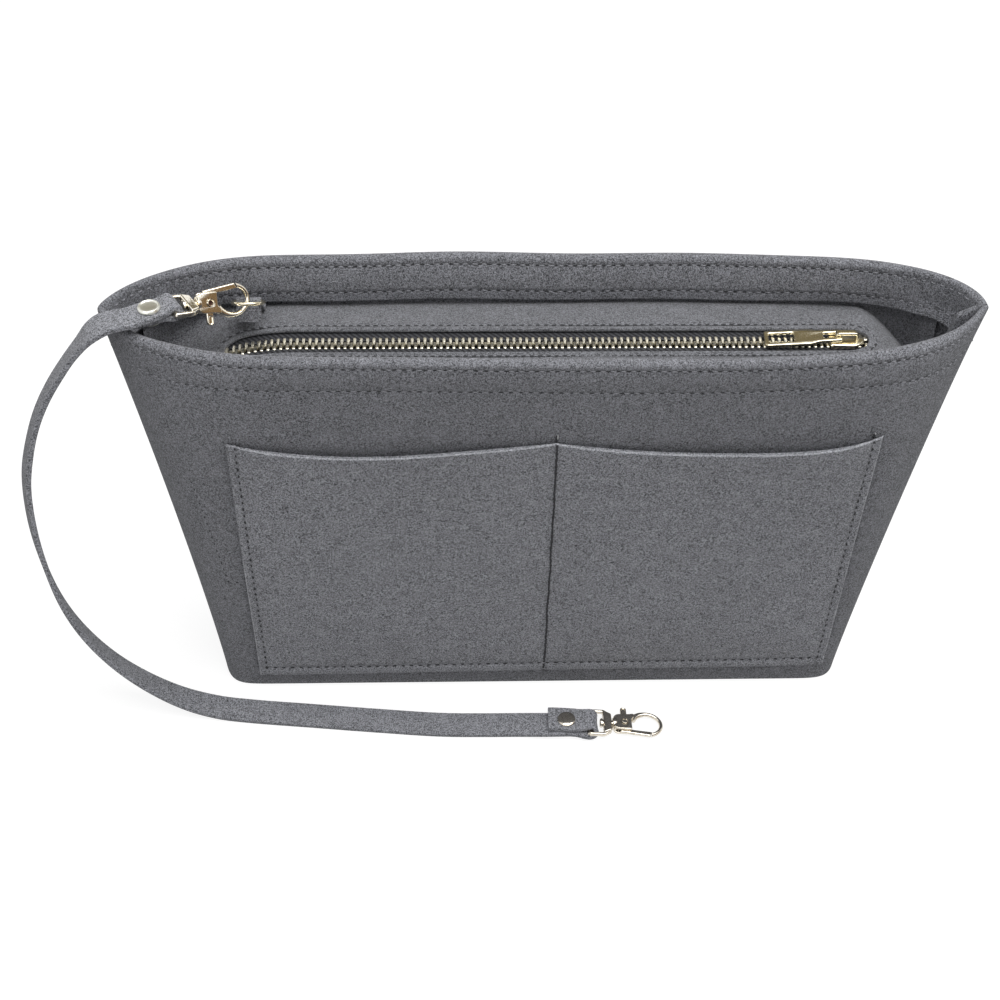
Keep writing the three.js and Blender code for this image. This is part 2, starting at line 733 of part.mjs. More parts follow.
function claspHook() {
  const start_angle = -158;
  const past_tip = 10;
  const steps = 20;
  const half = clasp_body_width / 2;
  const barrel = clasp_barrel_width / 2;
  const angles = Array.from({ length: steps + 1 },
    (_, i) => THREE.MathUtils.lerp(start_angle, hook_tip_angle + past_tip, i / steps));
  const band = [
    ...angles.map((angle) => ovalPoint(angle, 0)),
    ...angles.toReversed().map((angle) => ovalPoint(angle, hook_wire)),
  ];
  const shoulder = body_start + clasp_root_wall;
  const outline = [
    [body_start, -barrel], [shoulder, -half], [body_end, -half], [body_end, half], [shoulder, half],
    [body_start, barrel],
  ];
  const floor = pivot_x + thumb_width / 2 + running_gap;
  const slot = block(shoulder, floor, -hook_width, hook_width, -slot_room / 2, slot_room / 2);
  const gate_slot = block(shoulder, clasp_length, -gate_hub + running_gap, hook_width,
    -slot_room / 2, slot_room / 2);
  const cheeks = plate(outline, clasp_body_thickness).subtract(slot).subtract(gate_slot);
  const post = barAlongX(post_diameter, shoulder_start - running_gap - post_head_length,
    body_start + clasp_root_wall / 2);
  const head = barAlongX(post_head_diameter, shoulder_start - running_gap - post_head_length,
    shoulder_start - running_gap);
  const bore = barAlongZ(bore_diameter, pivot_x, 0, -clasp_body_thickness, clasp_body_thickness);
  const sweep = barAlongZ(2 * (gate_swing + running_gap), pivot_x, 0, -hook_thickness, hook_thickness, 96);
  const gate_room = sweep.subtract(block(0, clasp_length, -hook_length, tip_y / 2, -hook_length, hook_length))
    .subtract(block(0, body_end, -hook_length, hook_length, -hook_length, hook_length));
  const hook = plate(band, hook_thickness).subtract(gate_room);
  return shaped(hook.add(cheeks).subtract(bore).add(post).add(head));
}

// Gate: a hub on the pin, a straight bar to the hook's tip and a thumb piece on the other side
function claspGate() {
  const rest = ovalPoint(hook_tip_angle, 0)[1] + gate_bar * 0.1;
  const endAt = (y) => pivot_x + Math.sqrt(gate_swing ** 2 - y ** 2);
  const heel = clasp_body_width / 2 + gate_bar * 0.3;
  const bar = [
    [pivot_x - gate_hub, heel - gate_bar], [endAt(rest - gate_bar), rest - gate_bar], [endAt(rest), rest],
    [pivot_x - gate_hub, heel],
  ];
  const arm = [
    [pivot_x - gate_hub, 0], [pivot_x + gate_hub, 0], [pivot_x + gate_hub, heel - gate_bar / 2],
    [pivot_x - gate_hub, heel - gate_bar / 2],
  ];
  const half = thumb_width / 2;
  const thumb_end = -clasp_body_width / 2 - thumb_reach;
  const thumb = [
    [pivot_x - half, 0], [pivot_x - half, thumb_end + half], [pivot_x - half / 2, thumb_end],
    [pivot_x + half / 2, thumb_end], [pivot_x + half, thumb_end + half], [pivot_x + half, 0],
  ];
  const hub = barAlongZ(2 * gate_hub, pivot_x, 0, -gate_plate / 2, gate_plate / 2);
  const bore = barAlongZ(bore_diameter, pivot_x, 0, -gate_plate, gate_plate);
  return shaped(plate(bar, gate_plate).add(plate(arm, gate_plate)).add(plate(thumb, gate_plate))
    .add(hub).subtract(bore));
}

function claspPin() {
  const half = clasp_body_thickness / 2 + running_gap;
  const inside = pin_head_height / 2;
  const shaft = barAlongZ(pin_diameter, pivot_x, 0, -half - inside, half + inside, 12);
  const head = barAlongZ(pin_head_diameter, pivot_x, 0, half, half + pin_head_height, 12);
  const foot = barAlongZ(pin_head_diameter, pivot_x, 0, -half - pin_head_height, -half, 12);
  return shaped(shaft.add(head).add(foot));
}

// Leaf spring between the slot's end wall and the gate's hub
function claspSpring() {
  const leaf_x = pivot_x - gate_hub - running_gap - spring_leaf;
  return shaped(block(leaf_x, leaf_x + spring_leaf, -spring_length * 0.3, spring_length * 0.7,
    -gate_plate / 2, gate_plate / 2));
}

// Group whose X and Z axes point along two directions
function facing(position, along, normal) {
  const x = along.clone().normalize();
  const z = normal.clone().addScaledVector(x, -normal.dot(x)).normalize();
  const group = new THREE.Group();
  group.quaternion.setFromRotationMatrix(new THREE.Matrix4().makeBasis(x, z.clone().cross(x), z));
  group.position.copy(position);
  model.add(group);
  return group;
}

function clasp(name, position, way, eye_normal, hook_normal, look) {
  const eye_group = facing(position, way, eye_normal);
  piece(`${name}_clasp_eye`, claspEye(), look, eye_group);
  const hook_group = facing(position, way, hook_normal);
  piece(`${name}_clasp_hook`, claspHook(), look, hook_group);
  piece(`${name}_clasp_gate`, claspGate(), look, hook_group);
  piece(`${name}_clasp_pin`, claspPin(), look, hook_group);
  piece(`${name}_clasp_spring`, claspSpring(), steel_look, hook_group);
  return hook_group;
}

// Ends of the strap: where each clasp's bar lies, the way to its rivet, across the strap, to its outer face
function strapEnd(eye, setback, rivet_way, hook_way, bar_way, outer_hint) {
  const across = bar_way.clone().addScaledVector(hook_way, -bar_way.dot(hook_way)).normalize();
  const along = rivet_way.clone().addScaledVector(across, -rivet_way.dot(across)).normalize();
  const outer = across.clone().cross(along).normalize();
  return { eye, setback, along, across, outer: outer.multiplyScalar(Math.sign(outer.dot(outer_hint))) };
}

const up = new THREE.Vector3(0, 0, 1);
const down = new THREE.Vector3(0, 0, -1);
const front = new THREE.Vector3(0, -1, 0);
const pin_foot = clasp_body_thickness / 2 + running_gap + pin_head_height;
const far_drop = ((far_eye.z - pin_foot - 2 * floor_gap) * clasp_length) / pivot_x;
const far_hook_run = Math.sqrt(clasp_length ** 2 - far_drop ** 2);
const far_hook_way = new THREE.Vector3(far_hook_run, 0, -far_drop).normalize();
const near_end = strapEnd(near_eye, near_rivet_setback, near_rivet_way, near_hook_way, near_bar_way, up);
const far_end = strapEnd(far_eye, far_rivet_setback, far_rivet_way, far_hook_way, front, down);

const near_eye_facing = near_hook_way.clone().cross(near_end.across);
const near_hook = clasp('near', near_eye, near_hook_way, near_eye_facing, near_hook_facing, gold_look);
clasp('far', far_eye, far_hook_way, down, down, nickel_look);

// Strap: each end folds round its clasp's bar and lies back on itself, where a rivet holds it
const fold_turn = eye_bar / 2 + running_gap + strap_felt / 2;
const laid_half = strap_felt / 2 + sewn_gap / 2;

function endSpread(distance, setback) {
  const near_bar = THREE.MathUtils.smoothstep(distance, 0, setback - rivet_cap_diameter / 2);
  return THREE.MathUtils.lerp(fold_turn, laid_half, near_bar);
}

// Width of the strap at a distance from a clasp's bar, where it is gathered to go through the eye
function foldWidth(distance) {
  const gathered = THREE.MathUtils.smoothstep(distance, 0, fold_taper);
  return THREE.MathUtils.lerp(strap_fold_width, strap_width, gathered);
}

// Stations of one strap end from the tail's end round the bar to where the outer layer leaves the tail
function foldStations(end) {
  const steps = 8;
  const bends = 6;
  const tail_end = end.setback + strap_tail;
  const stations = [];
  const add = (along, out) => {
    const centre = end.eye.clone().addScaledVector(end.along, along).addScaledVector(end.outer, out);
    stations.push({ centre, across: end.across, width: foldWidth(along) });
  };
  for (let i = 0; i <= steps; i++) {
    const distance = tail_end * (1 - i / steps);
    add(distance, -endSpread(distance, end.setback));
  }
  for (let i = 1; i < bends; i++) {
    const angle = Math.PI * (i / bends - 0.5);
    add(-fold_turn * Math.cos(angle), fold_turn * Math.sin(angle));
  }
  for (let i = 0; i <= steps; i++) {
    const distance = (tail_end * i) / steps;
    add(distance, endSpread(distance, end.setback));
  }
  return stations;
}

function keyStrap() {
  const near_fold = foldStations(near_end);
  const far_fold = foldStations(far_end).toReversed();
  const leave = near_fold.at(-1);
  const land = far_fold[0];
  const route = new THREE.CatmullRomCurve3([
    near_fold.at(-2).centre, leave.centre, ...strap_route, land.centre, far_fold[1].centre,
  ]);
  const samples = 56;
  const span = 1 / (route.points.length - 1);
  const free = Array.from({ length: samples - 1 }, (_, i) => route.getPoint(
    THREE.MathUtils.lerp(span, 1 - span, (i + 1) / samples)));
  const middle = free.map((centre, i) => {
    const share = i / free.length;
    const turned = THREE.MathUtils.smoothstep(share, 0, 0.15);
    const twist = THREE.MathUtils.smoothstep(share, 0.12, 0.45)
      - THREE.MathUtils.smoothstep(share, 0.56, 0.76);
    const hanging = front.clone().applyAxisAngle(up, THREE.MathUtils.degToRad(strap_lean * twist));
    return { centre, across: leave.across.clone().lerp(hanging, turned).normalize(), width: strap_width };
  });
  const stations = [...near_fold, ...middle, ...far_fold];
  const rings = stations.map(({ centre, across, width }, i) => {
    const before = stations[Math.max(0, i - 1)].centre;
    const after = stations[Math.min(stations.length - 1, i + 1)].centre;
    const tangent = after.clone().sub(before).normalize();
    const side = across.clone().addScaledVector(tangent, -across.dot(tangent)).normalize();
    const lift = side.clone().cross(tangent).normalize();
    return [[-1, -1], [1, -1], [1, 1], [-1, 1]].map(([a, b]) => centre.clone()
      .addScaledVector(side, (a * width) / 2).addScaledVector(lift, (b * strap_felt) / 2));
  });
  const corners = [[-1, -1], [1, -1], [1, 1], [-1, 1]].map(([a, b]) => new THREE.Vector2(a, b));
  let strip = solid(loft(rings, corners));
  for (const end of [near_end, far_end]) {
    const hole = new THREE.CylinderGeometry(rivet_post_diameter / 2 + running_gap,
      rivet_post_diameter / 2 + running_gap, 6 * strap_felt, 16);
    strip = strip.subtract(solid(atRivet(hole, end)));
  }
  return shaped(strip);
}

// Moves a round piece that stands on the Y axis to a strap end's rivet, with +Y to the strap's outer face
function atRivet(geometry, end) {
  const centre = end.eye.clone().addScaledVector(end.along, end.setback);
  const basis = new THREE.Matrix4().makeBasis(end.across, end.outer, end.across.clone().cross(end.outer));
  return geometry.applyMatrix4(basis.setPosition(centre));
}

piece('key_strap', keyStrap(), felt_look);

// Rivet: a domed cap with its post on the outer face, a flatter back on the tail
const rivet_face = laid_half + strap_felt / 2 + running_gap / 2;

function rivetCap() {
  const dome = rivet_cap_diameter / 2;
  const post = rivet_post_diameter / 2;
  const profile = [
    [0, -rivet_face + running_gap], [post, -rivet_face + running_gap], [post, rivet_face], [dome, rivet_face],
    [dome, rivet_face + rivet_cap_height * 0.4], [dome * 0.8, rivet_face + rivet_cap_height * 0.8],
    [dome * 0.45, rivet_face + rivet_cap_height], [0, rivet_face + rivet_cap_height],
  ].map(([r, y]) => new THREE.Vector2(r, y));
  return shaped(solid(new THREE.LatheGeometry(profile, 20)));
}

function rivetBack() {
  const dome = rivet_back_diameter / 2;
  const profile = [
    [0, -rivet_face - rivet_back_height], [dome * 0.5, -rivet_face - rivet_back_height],
    [dome * 0.85, -rivet_face - rivet_back_height * 0.75], [dome, -rivet_face - rivet_back_height * 0.3],
    [dome, -rivet_face], [0, -rivet_face],
  ].map(([r, y]) => new THREE.Vector2(r, y));
  return shaped(solid(new THREE.LatheGeometry(profile, 20)));
}

for (const [name, end, look] of [['near', near_end, gold_look], ['far', far_end, nickel_look]]) {
  piece(`${name}_rivet_cap`, atRivet(rivetCap(), end), look);
  piece(`${name}_rivet_back`, atRivet(rivetBack(), end), look);
}

// D-ring, linked through the near hook's end: its bar lies along X behind the hook
const ring_room = tab_width + 2 * running_gap;
near_hook.updateMatrixWorld(true);
const hook_gate_way = new THREE.Vector3().setFromMatrixColumn(near_hook.matrixWorld, 1);
const hook_end = near_eye.clone().addScaledVector(near_hook_way, clasp_length - hook_wire / 2);
const ring_way = new THREE.Vector3(1, 0, 0).cross(hook_gate_way).normalize();
const ring_normal = new THREE.Vector3(1, 0, 0).cross(ring_way).normalize();
const ring_centre = hook_end.clone().addScaledVector(ring_normal, ring_drop);
const ring_bar = ring_centre.clone().addScaledVector(ring_way, -(ring_depth + ring_wire) / 2);

function dRing() {
  const half = (ring_room + ring_wire) / 2;
  const depth = ring_depth + ring_wire;
  const bow = 12;
  const outline = [[half * 0.4, 0], [-half * 0.4, 0], [-half, 0]];
  for (let i = 0; i <= bow; i++) {
    const angle = Math.PI * (1 - i / bow);
    outline.push([half * Math.cos(angle), depth * (0.35 + 0.65 * Math.sin(angle))]);
  }
  outline.push([half, 0]);
  const points = outline.map(([x, out]) => ring_bar.clone()
    .add(new THREE.Vector3(x, 0, 0)).addScaledVector(ring_way, out));
  return wireLoop(points, ring_normal, ring_wire / 2, 8);
}

piece('d_ring', dRing(), gold_look);

// Felt tab: a tongue in the hem's slot, a run forward over the flap, a rise to an eye round the ring's bar
// and a free tail in front
const tab_x = ring_bar.x;
const tab_tongue = hem_edge + hem_overlap;
const tab_inset = wall_felt + sewn_gap + tab_felt / 2;

// Outline of a strip of felt along a bent line in the YZ plane
function feltStrip(line, thickness) {
  const normals = line.map((point, i) => {
    const before = line[Math.max(0, i - 1)];
    const after = line[Math.min(line.length - 1, i + 1)];
    const [dy, dz] = [after[0] - before[0], after[1] - before[1]];
    const size = Math.hypot(dy, dz);
    return [-dz / size, dy / size];
  });
  const edge = (side) => line.map(([y, z], i) => [
    y + (side * normals[i][0] * thickness) / 2, z + (side * normals[i][1] * thickness) / 2,
  ]);
  return [...edge(1), ...edge(-1).toReversed()];
}

// Height of the tab's middle where it lies on the back flap
function tabRest(x, y) {
  return flapUnderside(1, x, y) + flap_felt + sewn_gap + tab_felt / 2;
}

// Line of the tab's free tail at one place along X, from the eye round the ring's bar down over the flap
const eye_bore = ring_wire / 2 + running_gap;

function tailLine(x) {
  const off = (eye_bore + tab_felt / 2) * Math.SQRT1_2;
  const start = [ring_bar.y - off, ring_bar.z - off];
  const end_y = ring_bar.y - tab_tail;
  return [start, [end_y, Math.max(ring_bar.z - tab_drop, tabRest(x, end_y) + sewn_gap)]];
}

// Line of the tab at one place along X, from its tongue's top to the ring's bar
function tabLine(x) {
  const slot_y = (z) => wallReach(1, x, z, tab_inset);
  const below = hem_edge - 1.5 * sewn_gap - tab_felt / 2;
  const root = slot_y(below);
  const over = (y) => tabRest(x, y);
  const past_hem = root - 2 * wall_felt - slot_width + tab_inset - sewn_gap;
  const turn = root - tab_run;
  return [
    [slot_y(tab_tongue), tab_tongue], [slot_y(hem_edge), hem_edge + sewn_gap],
    [root - tab_felt * 0.4, below + tab_felt * 0.1], [past_hem, Math.max(below, over(past_hem))],
    [turn, Math.max(below, over(turn)) + sewn_gap], [turn - tab_felt, over(turn) + tab_felt * 1.2],
    [ring_bar.y, ring_bar.z],
  ];
}

function ringTab() {
  const steps = 4;
  const [x0, x1] = [tab_x - tab_width / 2, tab_x + tab_width / 2];
  const places = Array.from({ length: steps + 1 }, (_, i) => THREE.MathUtils.lerp(x0, x1, i / steps));
  const strip = solid(alongX(places, (x) => feltStrip(tabLine(x), tab_felt)));
  const tail = solid(alongX(places, (x) => feltStrip(tailLine(x), tab_felt)));
  const round = (radius, extra) => solid(new THREE.CylinderGeometry(radius, radius, tab_width + extra, 16)
    .rotateZ(Math.PI / 2).translate(ring_bar.x, ring_bar.y, ring_bar.z));
  return shaped(strip.add(tail).add(round(eye_bore + tab_felt, 0)).subtract(round(eye_bore, tab_width)));
}

piece('ring_tab', ringTab(), felt_look);

// Back flap, notched where the ring tab's tongue stands in the slot
function backFlap() {
  const half = tab_width / 2 + running_gap;
  const notch = block(tab_x - half, tab_x + half, 0, mouth_depth, flap_turn + sewn_gap / 2,
    hem_edge + hem_overlap + 1);
  return shaped(solid(alongX(flap_places, (x) => flapSection(1, x))).subtract(notch));
}

piece('zip_flap_back', backFlap(), felt_look);

export default model;
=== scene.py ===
"""Looks of a purse organizer insert: sewn grey felt, a gold zipper and a clip-on key strap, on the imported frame."""

from __future__ import annotations

import json
import logging
import math
import random
from dataclasses import dataclass, field
from enum import Enum
from typing import Callable, Sequence

import bmesh
import bpy
import numpy as np
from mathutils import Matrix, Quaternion, Vector

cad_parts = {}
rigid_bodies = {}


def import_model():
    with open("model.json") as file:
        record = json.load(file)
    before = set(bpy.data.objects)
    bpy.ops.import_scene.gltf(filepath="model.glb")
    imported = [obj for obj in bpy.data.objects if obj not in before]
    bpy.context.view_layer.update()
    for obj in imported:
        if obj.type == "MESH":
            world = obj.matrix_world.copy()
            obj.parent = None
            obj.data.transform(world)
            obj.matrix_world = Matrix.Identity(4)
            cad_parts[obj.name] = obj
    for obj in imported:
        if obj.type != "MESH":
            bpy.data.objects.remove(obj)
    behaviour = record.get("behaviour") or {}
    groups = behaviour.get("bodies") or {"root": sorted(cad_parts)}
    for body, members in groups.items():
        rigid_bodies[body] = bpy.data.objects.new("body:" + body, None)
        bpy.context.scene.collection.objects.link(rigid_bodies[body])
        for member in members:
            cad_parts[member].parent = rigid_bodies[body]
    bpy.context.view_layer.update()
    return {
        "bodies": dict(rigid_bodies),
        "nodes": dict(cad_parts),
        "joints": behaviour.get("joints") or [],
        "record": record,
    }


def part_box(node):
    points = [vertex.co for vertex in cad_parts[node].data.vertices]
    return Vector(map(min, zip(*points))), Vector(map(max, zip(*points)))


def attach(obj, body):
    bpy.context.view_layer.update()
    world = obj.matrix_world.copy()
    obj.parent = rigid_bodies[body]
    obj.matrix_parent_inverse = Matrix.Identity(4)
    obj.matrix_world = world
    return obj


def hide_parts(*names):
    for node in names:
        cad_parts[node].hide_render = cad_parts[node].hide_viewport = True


LOG = logging.getLogger("insert")
MM = 0.001
Flat = tuple[float, float]


class Slot(Enum):
    """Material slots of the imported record."""

    FELT = "felt"
    TAPE = "zip_tape"
    GOLD = "pale_gold"
    NICKEL = "dark_nickel"
    STEEL = "spring_steel"


class Side(Enum):
    """The two long sides of the insert, as signs along Y."""

    FRONT = -1
    BACK = 1


def unit(vector: Sequence[float]) -> np.ndarray:
    """Returns the vector at length one."""
    array = np.asarray(vector, dtype=float)
    return array / np.linalg.norm(array)


def across_of(vector: Sequence[float], axis: np.ndarray) -> np.ndarray:
    """Returns the part of a vector that is square to a unit axis, at length one."""
    array = np.asarray(vector, dtype=float)
    return unit(array - axis * float(array @ axis))


def ease(value: np.ndarray | float, low: float, high: float) -> np.ndarray:
    """Returns 0 below low, 1 above high and a smooth step between them."""
    share = np.clip((np.asarray(value, dtype=float) - low) / (high - low), 0.0, 1.0)
    return share * share * (3.0 - 2.0 * share)


def edge_fall(distance: np.ndarray, radius: float) -> np.ndarray:
    """How far a rounded edge falls back at a distance from it.

    Args:
        distance: distance from the cut edge.
        radius: radius of the rounding.

    Returns:
        The fall, from the radius at the edge to 0 where the rounding ends.
    """
    left = np.clip(radius - np.asarray(distance, dtype=float), 0.0, radius)
    return radius - np.sqrt(radius * radius - left * left)


def rounded(corners: Sequence[Flat], radius: float, steps: int = 4) -> list[Flat]:
    """Rounds the corners of a flat closed outline.

    Args:
        corners: corners of the outline in order.
        radius: radius of the rounding, less where a side is short.
        steps: pieces of each rounded corner.

    Returns:
        The points of the rounded outline.
    """
    outline: list[Flat] = []
    count = len(corners)
    for index, corner in enumerate(corners):
        here = np.array(corner)
        before = np.array(corners[index - 1]) - here
        after = np.array(corners[(index + 1) % count]) - here
        reach = min(radius, 0.49 * np.linalg.norm(before), 0.49 * np.linalg.norm(after))
        start = here + unit(before) * reach
        end = here + unit(after) * reach
        for step in range(steps + 1):
            share = step / steps
            point = (1 - share) ** 2 * start + 2 * share * (1 - share) * here + share**2 * end
            outline.append((float(point[0]), float(point[1])))
    return outline


def oval(centre: Flat, half_x: float, half_y: float, steps: int = 32) -> list[Flat]:
    """Returns the points of a closed oval."""
    turns = [2 * math.pi * step / steps for step in range(steps)]
    return [(centre[0] + half_x * math.cos(turn), centre[1] + half_y * math.sin(turn)) for turn in turns]


def spread(line: np.ndarray, count: int) -> np.ndarray:
    """Spreads points evenly along a polyline.

    Args:
        line: points of the polyline, one a row.
        count: number of points to return.

    Returns:
        The evenly spaced points, the two ends included.
    """
    steps = np.linalg.norm(np.diff(line, axis=0), axis=1)
    run = np.concatenate(([0.0], np.cumsum(steps)))
    places = np.linspace(0.0, run[-1], count)
    return np.stack([np.interp(places, run, line[:, axis]) for axis in range(line.shape[1])], axis=1)


@dataclass(frozen=True)
class SoftWaves:
    """Slow seeded waves that keep hand-sewn felt from lying dead flat."""

    seed: int
    length: float
    size: float
    count: int = 6

    def at(self, along: np.ndarray, up: np.ndarray | float = 0.0) -> np.ndarray:
        """Height of the waves at places along and up a sheet."""
        chance = random.Random(self.seed)
        total = np.zeros(np.broadcast(np.asarray(along), np.asarray(up)).shape)
        for _ in range(self.count):
            turn = chance.uniform(0, math.pi)
            pace = 2 * math.pi / (self.length * chance.uniform(0.6, 1.7))
            shift = chance.uniform(0, 2 * math.pi)
            total = total + np.sin(pace * (np.cos(turn) * along + np.sin(turn) * np.asarray(up)) + shift)
        return self.size * total / math.sqrt(self.count)


@dataclass
class Shape:
    """Points in millimetres and the faces between them."""

    points: np.ndarray
    faces: list[tuple[int, ...]]

    @classmethod
    def loft(cls, rings: np.ndarray, closed_rings: bool = False, capped: bool = True) -> Shape:
        """Skin through closed rings of the same count.

        Args:
            rings: array of rings, points and coordinates.
            closed_rings: the last ring joins the first, as in a link.
            capped: both ends are closed by a face.

        Returns:
            The skin.
        """
        rows, count = rings.shape[:2]
        faces: list[tuple[int, ...]] = []
        for row in range(rows if closed_rings else rows - 1):
            low, high = row * count, ((row + 1) % rows) * count
            for step in range(count):
                following = (step + 1) % count
                faces.append((low + step, low + following, high + following, high + step))
        if capped and not closed_rings:
            faces.append(tuple(reversed(range(count))))
            faces.append(tuple(range((rows - 1) * count, rows * count)))
        return cls(rings.reshape(-1, 3), faces)

    @classmethod
    def joined(cls, shapes: Sequence[Shape]) -> Shape:
        """Puts several shapes into one."""
        faces: list[tuple[int, ...]] = []
        start = 0
        for shape in shapes:
            faces.extend(tuple(index + start for index in face) for face in shape.faces)
            start += len(shape.points)
        return cls(np.concatenate([shape.points for shape in shapes]), faces)

    def placed(self, origin: Sequence[float], axes: np.ndarray) -> Shape:
        """Moves the shape to an origin, with its own axes along the rows of axes."""
        return Shape(np.asarray(origin, dtype=float) + self.points @ axes, self.faces)


def swept(line: np.ndarray, ups: np.ndarray, section: np.ndarray, sizes: np.ndarray | None = None,
          closed: bool = False) -> Shape:
    """Sweeps a flat section along a line.

    Args:
        line: points of the line.
        ups: direction of the section's second axis at each point.
        section: points of the section, its first axis across and its second up.
        sizes: size of the section at each point, all 1 where left out.
        closed: the line is a loop.

    Returns:
        The swept skin.
    """
    count = len(line)
    if closed:
        tangents = np.roll(line, -1, axis=0) - np.roll(line, 1, axis=0)
    else:
        tangents = np.gradient(line, axis=0)
    tangents = tangents / np.linalg.norm(tangents, axis=1, keepdims=True)
    ups = np.broadcast_to(ups, line.shape)
    ups = ups - tangents * np.sum(ups * tangents, axis=1, keepdims=True)
    ups = ups / np.linalg.norm(ups, axis=1, keepdims=True)
    sides = np.cross(tangents, ups)
    scale = np.ones((count, 2)) if sizes is None else np.asarray(sizes, dtype=float).reshape(count, -1)
    scale = np.broadcast_to(scale, (count, 2))
    rings = (line[:, None, :]
             + sides[:, None, :] * (section[None, :, 0] * scale[:, :1])[..., None]
             + ups[:, None, :] * (section[None, :, 1] * scale[:, 1:])[..., None])
    return Shape.loft(rings, closed_rings=closed)


def round_section(half_x: float, half_y: float, sides: int = 12) -> np.ndarray:
    """Returns an oval section."""
    return np.array(oval((0.0, 0.0), half_x, half_y, sides))


def strip_section(width: float, thickness: float, edge: float) -> np.ndarray:
    """Returns the section of a flat strip with rounded edges."""
    half, lift = width / 2, thickness / 2
    return np.array(rounded([(-half, -lift), (half, -lift), (half, lift), (-half, lift)], edge, 3))


def turned(profile: Sequence[Flat], sides: int = 36) -> Shape:
    """Turns a profile of radius and height round the Z axis.

    Args:
        profile: radius and height from the foot to the top, neither end on the axis.
        sides: faces round the axis.

    Returns:
        The closed round body.
    """
    turns = np.linspace(0, 2 * math.pi, sides, endpoint=False)
    rings = np.array([[(radius * math.cos(turn), radius * math.sin(turn), height) for turn in turns]
                      for radius, height in profile])
    return Shape.loft(rings)


def cut_plate(outlines: Sequence[Sequence[Flat]], thickness: float, edge: float, steps: int = 2) -> Shape:
    """Flat plate with holes and rounded edges, in the XY plane and centred on it.

    Args:
        outlines: the outside outline, then the holes.
        thickness: thickness of the plate.
        edge: radius of its rounded edges.
        steps: pieces of the rounding.

    Returns:
        The plate.
    """
    curve = bpy.data.curves.new("plate_cutting", "CURVE")
    curve.dimensions = "2D"
    curve.fill_mode = "BOTH"
    curve.extrude = thickness / 2 - edge
    curve.bevel_depth = edge
    curve.bevel_resolution = steps
    curve.offset = -edge
    for outline in outlines:
        spline = curve.splines.new("POLY")
        spline.points.add(len(outline) - 1)
        for knot, (x, y) in zip(spline.points, outline):
            knot.co = (x, y, 0.0, 1.0)
        spline.use_cyclic_u = True
    cutting = bpy.data.objects.new("plate_cutting", curve)
    bpy.context.scene.collection.objects.link(cutting)
    graph = bpy.context.evaluated_depsgraph_get()
    mesh = bpy.data.meshes.new_from_object(cutting.evaluated_get(graph))
    points = np.array([vertex.co[:] for vertex in mesh.vertices])
    faces = [tuple(polygon.vertices) for polygon in mesh.polygons]
    bpy.data.objects.remove(cutting)
    bpy.data.curves.remove(curve)
    bpy.data.meshes.remove(mesh)
    return Shape(points, faces)


class ShaderDesk:
    """Adds and links shader nodes in one tree."""

    def __init__(self, tree: bpy.types.NodeTree) -> None:
        """Keeps the tree."""
        self.tree = tree

    def add(self, kind: str, inputs: dict[str | int, object] | None = None, **settings: object) -> bpy.types.Node:
        """Adds a node.

        Args:
            kind: Blender's name of the node type.
            inputs: value or source socket for each named or numbered input.
            settings: properties of the node.

        Returns:
            The node.
        """
        node = self.tree.nodes.new(kind)
        for name, value in settings.items():
            setattr(node, name, value)
        for name, value in (inputs or {}).items():
            if isinstance(value, bpy.types.NodeSocket):
                self.tree.links.new(value, node.inputs[name])
            else:
                node.inputs[name].default_value = value
        return node

    def maths(self, operation: str, first: object, second: object = 0.0) -> bpy.types.NodeSocket:
        """Adds a Math node and returns its result."""
        return self.add("ShaderNodeMath", {0: first, 1: second}, operation=operation).outputs[0]

    def mixed(self, share: object, low: object, high: object) -> bpy.types.NodeSocket:
        """Adds a colour mix and returns its result."""
        node = self.add("ShaderNodeMix", data_type="RGBA")
        for index, value in ((0, share), (6, low), (7, high)):
            if isinstance(value, bpy.types.NodeSocket):
                self.tree.links.new(value, node.inputs[index])
            else:
                node.inputs[index].default_value = value
        return node.outputs[2]

    def ranged(self, value: object, low: float, high: float, to_low: float = 0.0,
               to_high: float = 1.0) -> bpy.types.NodeSocket:
        """Adds a clamped map from one range to another and returns its result."""
        names = ("Value", "From Min", "From Max", "To Min", "To Max")
        return self.add("ShaderNodeMapRange", dict(zip(names, (value, low, high, to_low, to_high)))).outputs[0]


def group_of(name: str, inputs: Sequence[tuple[str, str]],
             outputs: Sequence[tuple[str, str]]) -> tuple[bpy.types.NodeTree, ShaderDesk, dict, dict]:
    """Starts a shader node group.

    Args:
        name: name of the group.
        inputs: name and socket type of each input.
        outputs: name and socket type of each output.

    Returns:
        The group, its desk, its input sockets and its output sockets by name.
    """
    tree = bpy.data.node_groups.new(name, "ShaderNodeTree")
    for label, kind in inputs:
        tree.interface.new_socket(label, in_out="INPUT", socket_type=kind)
    for label, kind in outputs:
        tree.interface.new_socket(label, in_out="OUTPUT", socket_type=kind)
    desk = ShaderDesk(tree)
    entry = desk.add("NodeGroupInput")
    leave = desk.add("NodeGroupOutput")
    return tree, desk, entry.outputs, leave.inputs


VECTOR, COLOUR, VALUE = "NodeSocketVector", "NodeSocketColor", "NodeSocketFloat"


